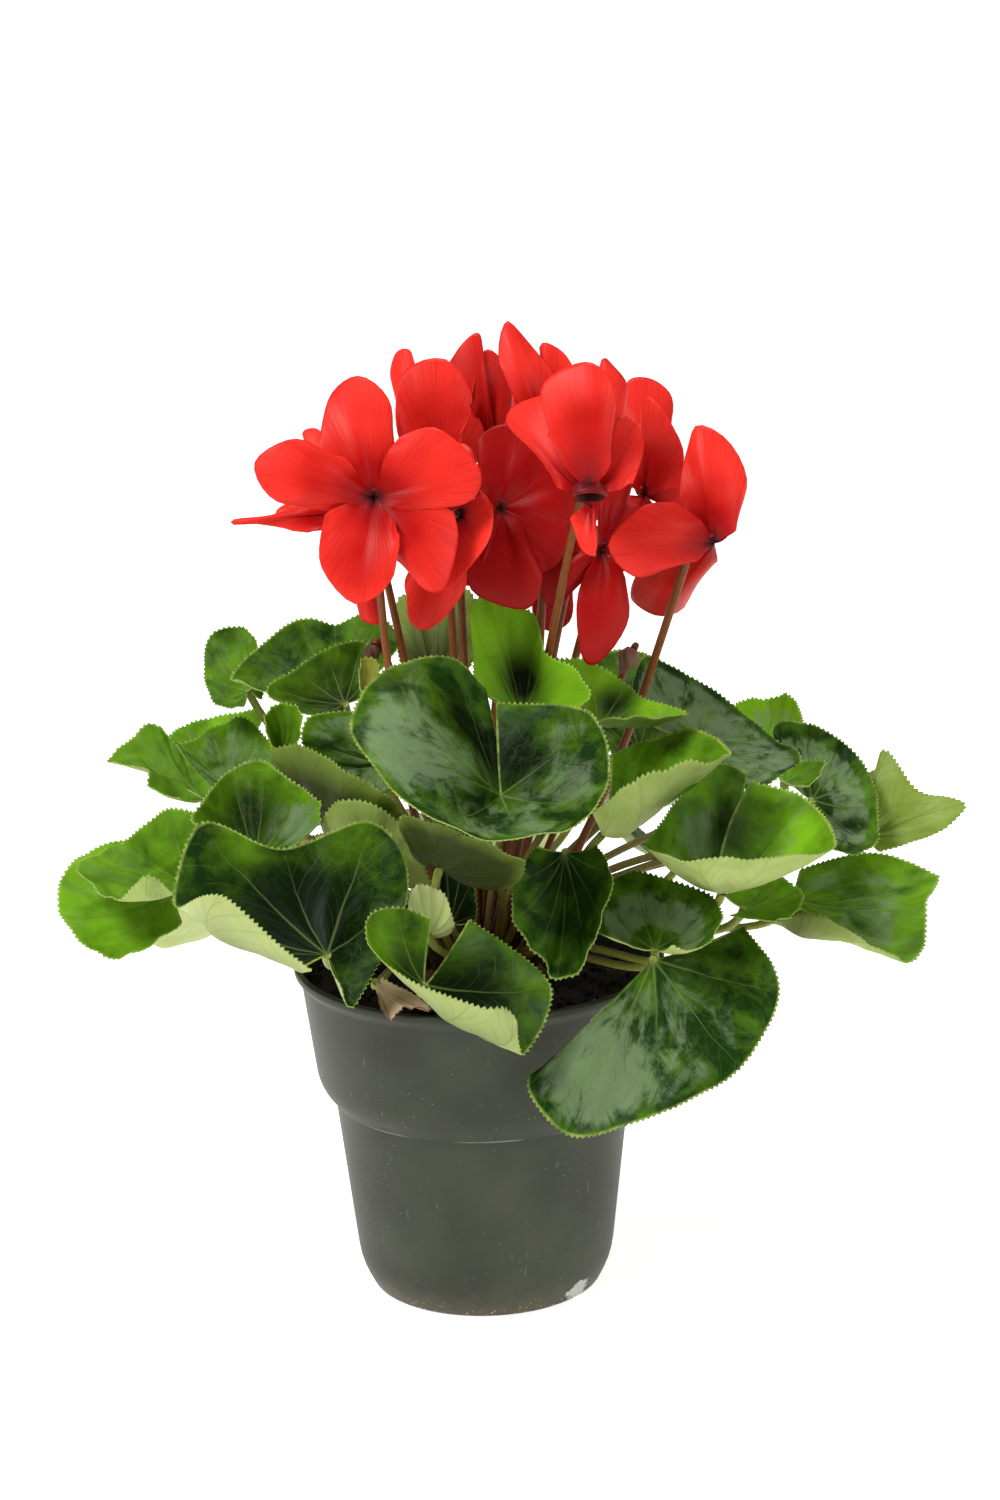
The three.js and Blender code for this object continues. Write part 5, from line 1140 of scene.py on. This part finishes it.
def tube_grid(root, rise, arrive, end, radius):
    """Rings of points along a cubic curve, swelling at the foot and at the end."""
    t = np.linspace(0, 1, STALK_STEPS)[:, None]
    path = (root * (1 - t) ** 3 + 3 * rise * t * (1 - t) ** 2
            + 3 * arrive * t ** 2 * (1 - t) + end * t ** 3)
    forward = unit(np.gradient(path, axis=0))
    side = [unit(np.cross(forward[0], (0.2, 1.0, 0.1)))]
    for step in forward[1:]:
        side.append(unit(side[-1] - step * side[-1].dot(step)))
    side = np.array(side)
    other = np.cross(forward, side)
    turn = full_turn(STALK_SIDES)
    swell = radius * (1 + FOOT_SWELL * (1 - t) ** 6 - STALK_WAIST * np.sin(np.pi * t))
    ring = side[:, None] * np.cos(turn)[None, :, None] + other[:, None] * np.sin(turn)[None, :, None]
    return path[:, None] + ring * swell[..., None], t


stalk_faces = grid_faces(STALK_STEPS, STALK_SIDES, ring=True)
stalk_faces.append([(STALK_STEPS - 1) * STALK_SIDES + i for i in range(STALK_SIDES)])
stalk_faces.append(list(reversed(range(STALK_SIDES))))
parts = []
for *curve, kind in curves:
    grid, t = tube_grid(*curve)
    parts.append((grid, stalk_faces, t[..., None] * (1, 0, 0), kind))
tuber_profile = [(TUBER_RADIUS * share, height * MM) for share, height in TUBER_PROFILE]
tuber_profile = [(0.2 * MM, TUBER_BOTTOM)] + tuber_profile + [(0.2 * MM, TUBER_TOP)]
grid = lathe_grid(tuber_profile, TUBER_SIDES)
x, y, z = np.moveaxis(grid, -1, 0)
bumps = np.sin(x * 410) * np.cos(y * 370) + np.sin(z * 900 + x * 200)
grid = grid + unit(grid - TUBER_MIDDLE) * (bumps * TUBER_BUMP)[..., None]
parts.append((grid, grid_faces(len(tuber_profile), TUBER_SIDES, ring=True), 0, 2))
points, faces, marks, kinds = joined(parts)
new_piece("tuber_and_stalks", points, faces, [FLOWER_STALK, LEAF_STALK, CORK],
          ["tuber_with_stalks"], {"stalk": marks}, kinds)
print("stalks:", len(curves), "faces:", len(faces))

# %% [markdown]
# ## The pot
# A nursery pot is injection-moulded from recycled polypropylene: dark grey with a trace of green,
# semi-matt, dusty, and scuffed along its edges. Its wall steps out to a collar and ends in a lip.
# The profile is turned, with each corner rounded as the mould rounds it.

# %% The pot's profile
POT_SIDES = 160
# radius, height and rounding of each corner in millimetres, from the middle of the foot round
POT_PROFILE = [
    (0.3, 0, 0), (8, 0, 0.4), (9, 4, 0.4), (32.5, 4, 0.4), (33.5, 0, 0.4), (37.5, 0, 1), (41.5, 8, 5),
    (48, 64.1, 0.1), (48.7, 64.4, 0.15), (52.3, 69.1, 2), (53.6, 73, 1.6), (57.8, 105, 0.6),
    (60, 107.5, 0.6), (60, 110, 0.9), (58, 110, 0.6), (52, 73, 1), (46.4, 64.5, 1), (38.9, 6, 1.5),
    (0.3, 6, 0),
]


def rounded(profile, steps=4):
    """The profile with each corner replaced by a small curve."""
    corners = np.array([corner[:2] for corner in profile])
    made = [corners[0]]
    for before, at, after, (_, _, size) in zip(corners, corners[1:], corners[2:], profile[1:]):
        start = at + unit(before - at) * min(size, np.linalg.norm(before - at) / 2)
        end = at + unit(after - at) * min(size, np.linalg.norm(after - at) / 2)
        made += [start * (1 - t) ** 2 + 2 * at * t * (1 - t) + end * t ** 2
                 for t in np.linspace(0, 1, steps)]
    return np.array(made + [corners[-1]]) * MM


pot_profile = rounded(POT_PROFILE)
print("pot profile points:", len(pot_profile))

# %% [markdown]
# Moulded polypropylene has an IOR near 1.49 and a roughness about 0.5 from the textured mould. On
# it lie a soft wandering of tone, pale specks and hair scratches of dust, brown peat water with
# lighter grains dried on the foot, and at the right of the foot a torn patch with a dark ring. A pale
# line along the ledge under the collar is a painted highlight. The scale of each is a real size in
# millimetres.

# %% The pot's plastic
TONE_SIZE, SPECK_SIZE, PATCH_SIZE, HAIR_SIZE = 30 * MM, 2.6 * MM, 20 * MM, 1.5 * MM
DIRT_SIZE, GRAIN_SIZE, TEXTURE_SIZE = 4 * MM, 1.5 * MM, 0.8 * MM
DIRT_WAVE, LEDGE_HEIGHT = 14 * MM, 64.4 * MM
TORN_PLACE, TORN_SIZE = (29.5 * MM, -26.5 * MM, 3.5 * MM), 11 * MM
HAIR_STRETCH, HAIR_TURN = (1, 1, 0.12), (0.2, 0.35, 0)

POT_PLASTIC, tree, body = new_material("recycled_polypropylene")
height = add(tree, "SeparateXYZ", [body]).outputs["Z"]
placed = add(tree, "Mapping", {"Vector": body, "Scale": HAIR_STRETCH, "Rotation": HAIR_TURN})
tone, patchy, hairs, dirt, fine = (
    add(tree, "TexNoise", {"Vector": vector, "Scale": 1 / size, "Detail": detail})
    for vector, size, detail in ((body, TONE_SIZE, 5.0), (body, PATCH_SIZE, 2.0), (placed, HAIR_SIZE, 1.0),
                                 (body, DIRT_SIZE, 5.0), (body, TEXTURE_SIZE, 2.0)))
specks, grains = (add(tree, "TexVoronoi", {"Vector": body, "Scale": 1 / size})
                  for size in (SPECK_SIZE, GRAIN_SIZE))
low = add(tree, "MapRange", [height, 4 * MM, 16 * MM, 0.3, 0.0])
patchy = add(tree, "Math", [patchy, low], operation="ADD")
level = add(tree, "Math", [dirt, DIRT_WAVE, height], operation="MULTIPLY_ADD")
# a painted highlight: a pale line along the ledge under the collar, found by distance from its height
ledge_highlight = add(tree, "Math", [height, LEDGE_HEIGHT], operation="SUBTRACT")
ledge_highlight = add(tree, "Math", [ledge_highlight], operation="ABSOLUTE")
off = add(tree, "VectorMath", [body, TORN_PLACE], operation="DISTANCE").outputs["Value"]
ragged = add(tree, "Math", [dirt, TORN_SIZE, off], operation="MULTIPLY_ADD")
print("patterns of the plastic:", len(tree.nodes), "nodes")

# %% How strongly each mark shows, and the marks laid over each other
wander, where, specks, hairs, soiled, grains, foot, ledge_highlight, torn, middle = (
    add(tree, "MapRange", [value, *shows]) for value, *shows in (
        (tone, 0.35, 0.65, 0.0, 1.0),
        (patchy, 0.4, 0.6, 0.0, 1.0),
        (specks, 0.06, 0.1, 0.7, 0.0),
        (hairs, 0.71, 0.79, 0.0, 0.22),
        (level, 9 * MM, 17 * MM, 0.75, 0.0),
        (grains, 0.16, 0.3, 0.9, 0.0),
        (level, 7 * MM, 12 * MM, 1.0, 0.0),
        (ledge_highlight, 0.25 * MM, 0.5 * MM, 0.6, 0.0),
        (ragged, 0.95 * TORN_SIZE, 1.05 * TORN_SIZE, 0.8, 0.0),
        (ragged, 0.85 * TORN_SIZE, 0.92 * TORN_SIZE, 1.0, 0.0)))
specks, grains, ledge_highlight = (add(tree, "Math", pair, operation="MULTIPLY")
                         for pair in ([specks, where], [grains, foot], [ledge_highlight, where]))
scuff = add(tree, "Mix", [middle, linear("2a2720"), linear("b4b7b0")], data_type="RGBA")
colour = linear("2b2e22")
for share, mark in ((wander, linear("393c2e")), (specks, linear("7c7f73")), (hairs, linear("7d8074")),
                    (soiled, linear("4a4230")), (grains, linear("b39c66")), (ledge_highlight, linear("8f9284")),
                    (torn, scuff)):
    colour = add(tree, "Mix", [share, colour, mark], data_type="RGBA")
bump = add(tree, "Bump", {"Height": tone, "Strength": 0.3, "Distance": 0.4 * MM})
bump = add(tree, "Bump", {"Height": fine, "Strength": 0.12, "Distance": 0.1 * MM, "Normal": bump})
finish(tree, colour, bump, {"Roughness": 0.5, "IOR": 1.49, "Specular IOR Level": 0.25})
print(POT_PLASTIC.name)

# %% Turn the pot and drill its drain holes
DRAIN_RADIUS, DRAIN_RING_RADIUS, DRAIN_COUNT = 4 * MM, 22 * MM, 5
DRAIN_SIDES, DRILL_HEIGHT, DRILL_LENGTH = 24, 5 * MM, 20 * MM
grid = lathe_grid(pot_profile, POT_SIDES)
rows = len(pot_profile)
last = (rows - 1) * POT_SIDES
faces = grid_faces(rows, POT_SIDES, ring=True)
faces += [list(range(POT_SIDES)), [last + i for i in reversed(range(POT_SIDES))]]
pot = new_piece("pot_moulded", grid, faces, [POT_PLASTIC], ["pot"])
drill = bmesh.new()
for i in range(DRAIN_COUNT):
    turn = i * 2 * math.pi / DRAIN_COUNT
    place = DRAIN_RING_RADIUS * math.cos(turn), DRAIN_RING_RADIUS * math.sin(turn), DRILL_HEIGHT
    bmesh.ops.create_cone(drill, cap_ends=True, segments=DRAIN_SIDES, radius1=DRAIN_RADIUS,
                          radius2=DRAIN_RADIUS, depth=DRILL_LENGTH, matrix=Matrix.Translation(place))
drill_mesh = bpy.data.meshes.new("drill")
drill.to_mesh(drill_mesh)
drill.free()
drills = new_object("drill", drill_mesh)
cut = pot.modifiers.new("drain_holes", "BOOLEAN")
cut.object, cut.operation, cut.solver = drills, "DIFFERENCE", "EXACT"
with bpy.context.temp_override(object=pot, active_object=pot, selected_objects=[pot]):
    bpy.ops.object.modifier_apply(modifier=cut.name)
bpy.data.objects.remove(drills)
print("pot faces:", len(pot.data.polygons))

# %% [markdown]
# ## The peat
# Potting peat is nearly black when moist: a crumbly surface with clods, root hairs and a few pale
# grains. The bed itself is a grid whose heights wander, and loose crumbs lie on it.

# %% The bed of peat
PEAT = mottled("moist_peat", "1d1712", "080605", 1.8, 0.95, height=1.2)
GRAIN = mottled("pale_grains", "6b5a44", "3a2e22", 1.5, 0.9)
PEAT_SIDES, PEAT_TOP, PEAT_RINGS = 140, 101.6, 26
# radius and height in millimetres: up inside the pot's wall, over the top, down round the tuber
peat_profile = [(0.3, 6.4), (38, 6.4), (45.6, 64.5), (50.6, 73)]
peat_profile += [(r, PEAT_TOP) for r in np.linspace(55.8, 24, PEAT_RINGS)]
peat_profile += [(23.4, 101.5), (23.4, 87.6), (0.3, 87.6)]
bed = lathe_grid(np.array(peat_profile) * MM, PEAT_SIDES)
top = slice(4, 4 + PEAT_RINGS)
x, y = bed[top, :, 0], bed[top, :, 1]
waves = (np.sin(310 * x + 1) * np.cos(270 * y) * 1.0 + np.sin(730 * x + 420 * y) * 0.5
         + np.sin(1310 * y - 900 * x + 2) * 0.35 + np.sin(2300 * x + 1) * np.sin(2500 * y) * 0.3)
bed[top, :, 2] += waves * MM
parts = [(bed, grid_faces(len(peat_profile), PEAT_SIDES, ring=True), 0, 0)]
print("peat bed points:", bed.size // 3)

# %% Loose crumbs
CRUMBS, CRUMBS_PER_GRAIN, CRUMB_SIZE = 420, 14, (0.4, 1.5)
CRUMBS_FROM, CRUMBS_TO, CRUMBS_HEIGHT = 25.5, 54, 102 * MM
dice = np.random.default_rng(7)
ball = bmesh.new()
bmesh.ops.create_icosphere(ball, subdivisions=1, radius=1)
ball_points = np.array([v.co[:] for v in ball.verts])
ball_faces = [[v.index for v in face.verts] for face in ball.faces]
ball.free()
for number in range(CRUMBS):
    out = math.sqrt(dice.uniform(CRUMBS_FROM ** 2, CRUMBS_TO ** 2)) * MM
    turn = dice.uniform(0, 2 * math.pi)
    size = dice.uniform(*CRUMB_SIZE) * MM
    place = (out * math.cos(turn), out * math.sin(turn), CRUMBS_HEIGHT + 0.3 * size)
    crumb = ball_points * dice.uniform(0.6, 1.3, ball_points.shape) * size * dice.uniform(0.6, 1.2, 3)
    parts.append((crumb + place, ball_faces, 0, int(number % CRUMBS_PER_GRAIN == 0)))
points, faces, _, kinds = joined(parts)
new_piece("peat_bed", points, faces, [PEAT, GRAIN], ["soil"], kinds=kinds)
print("peat crumbs:", CRUMBS)
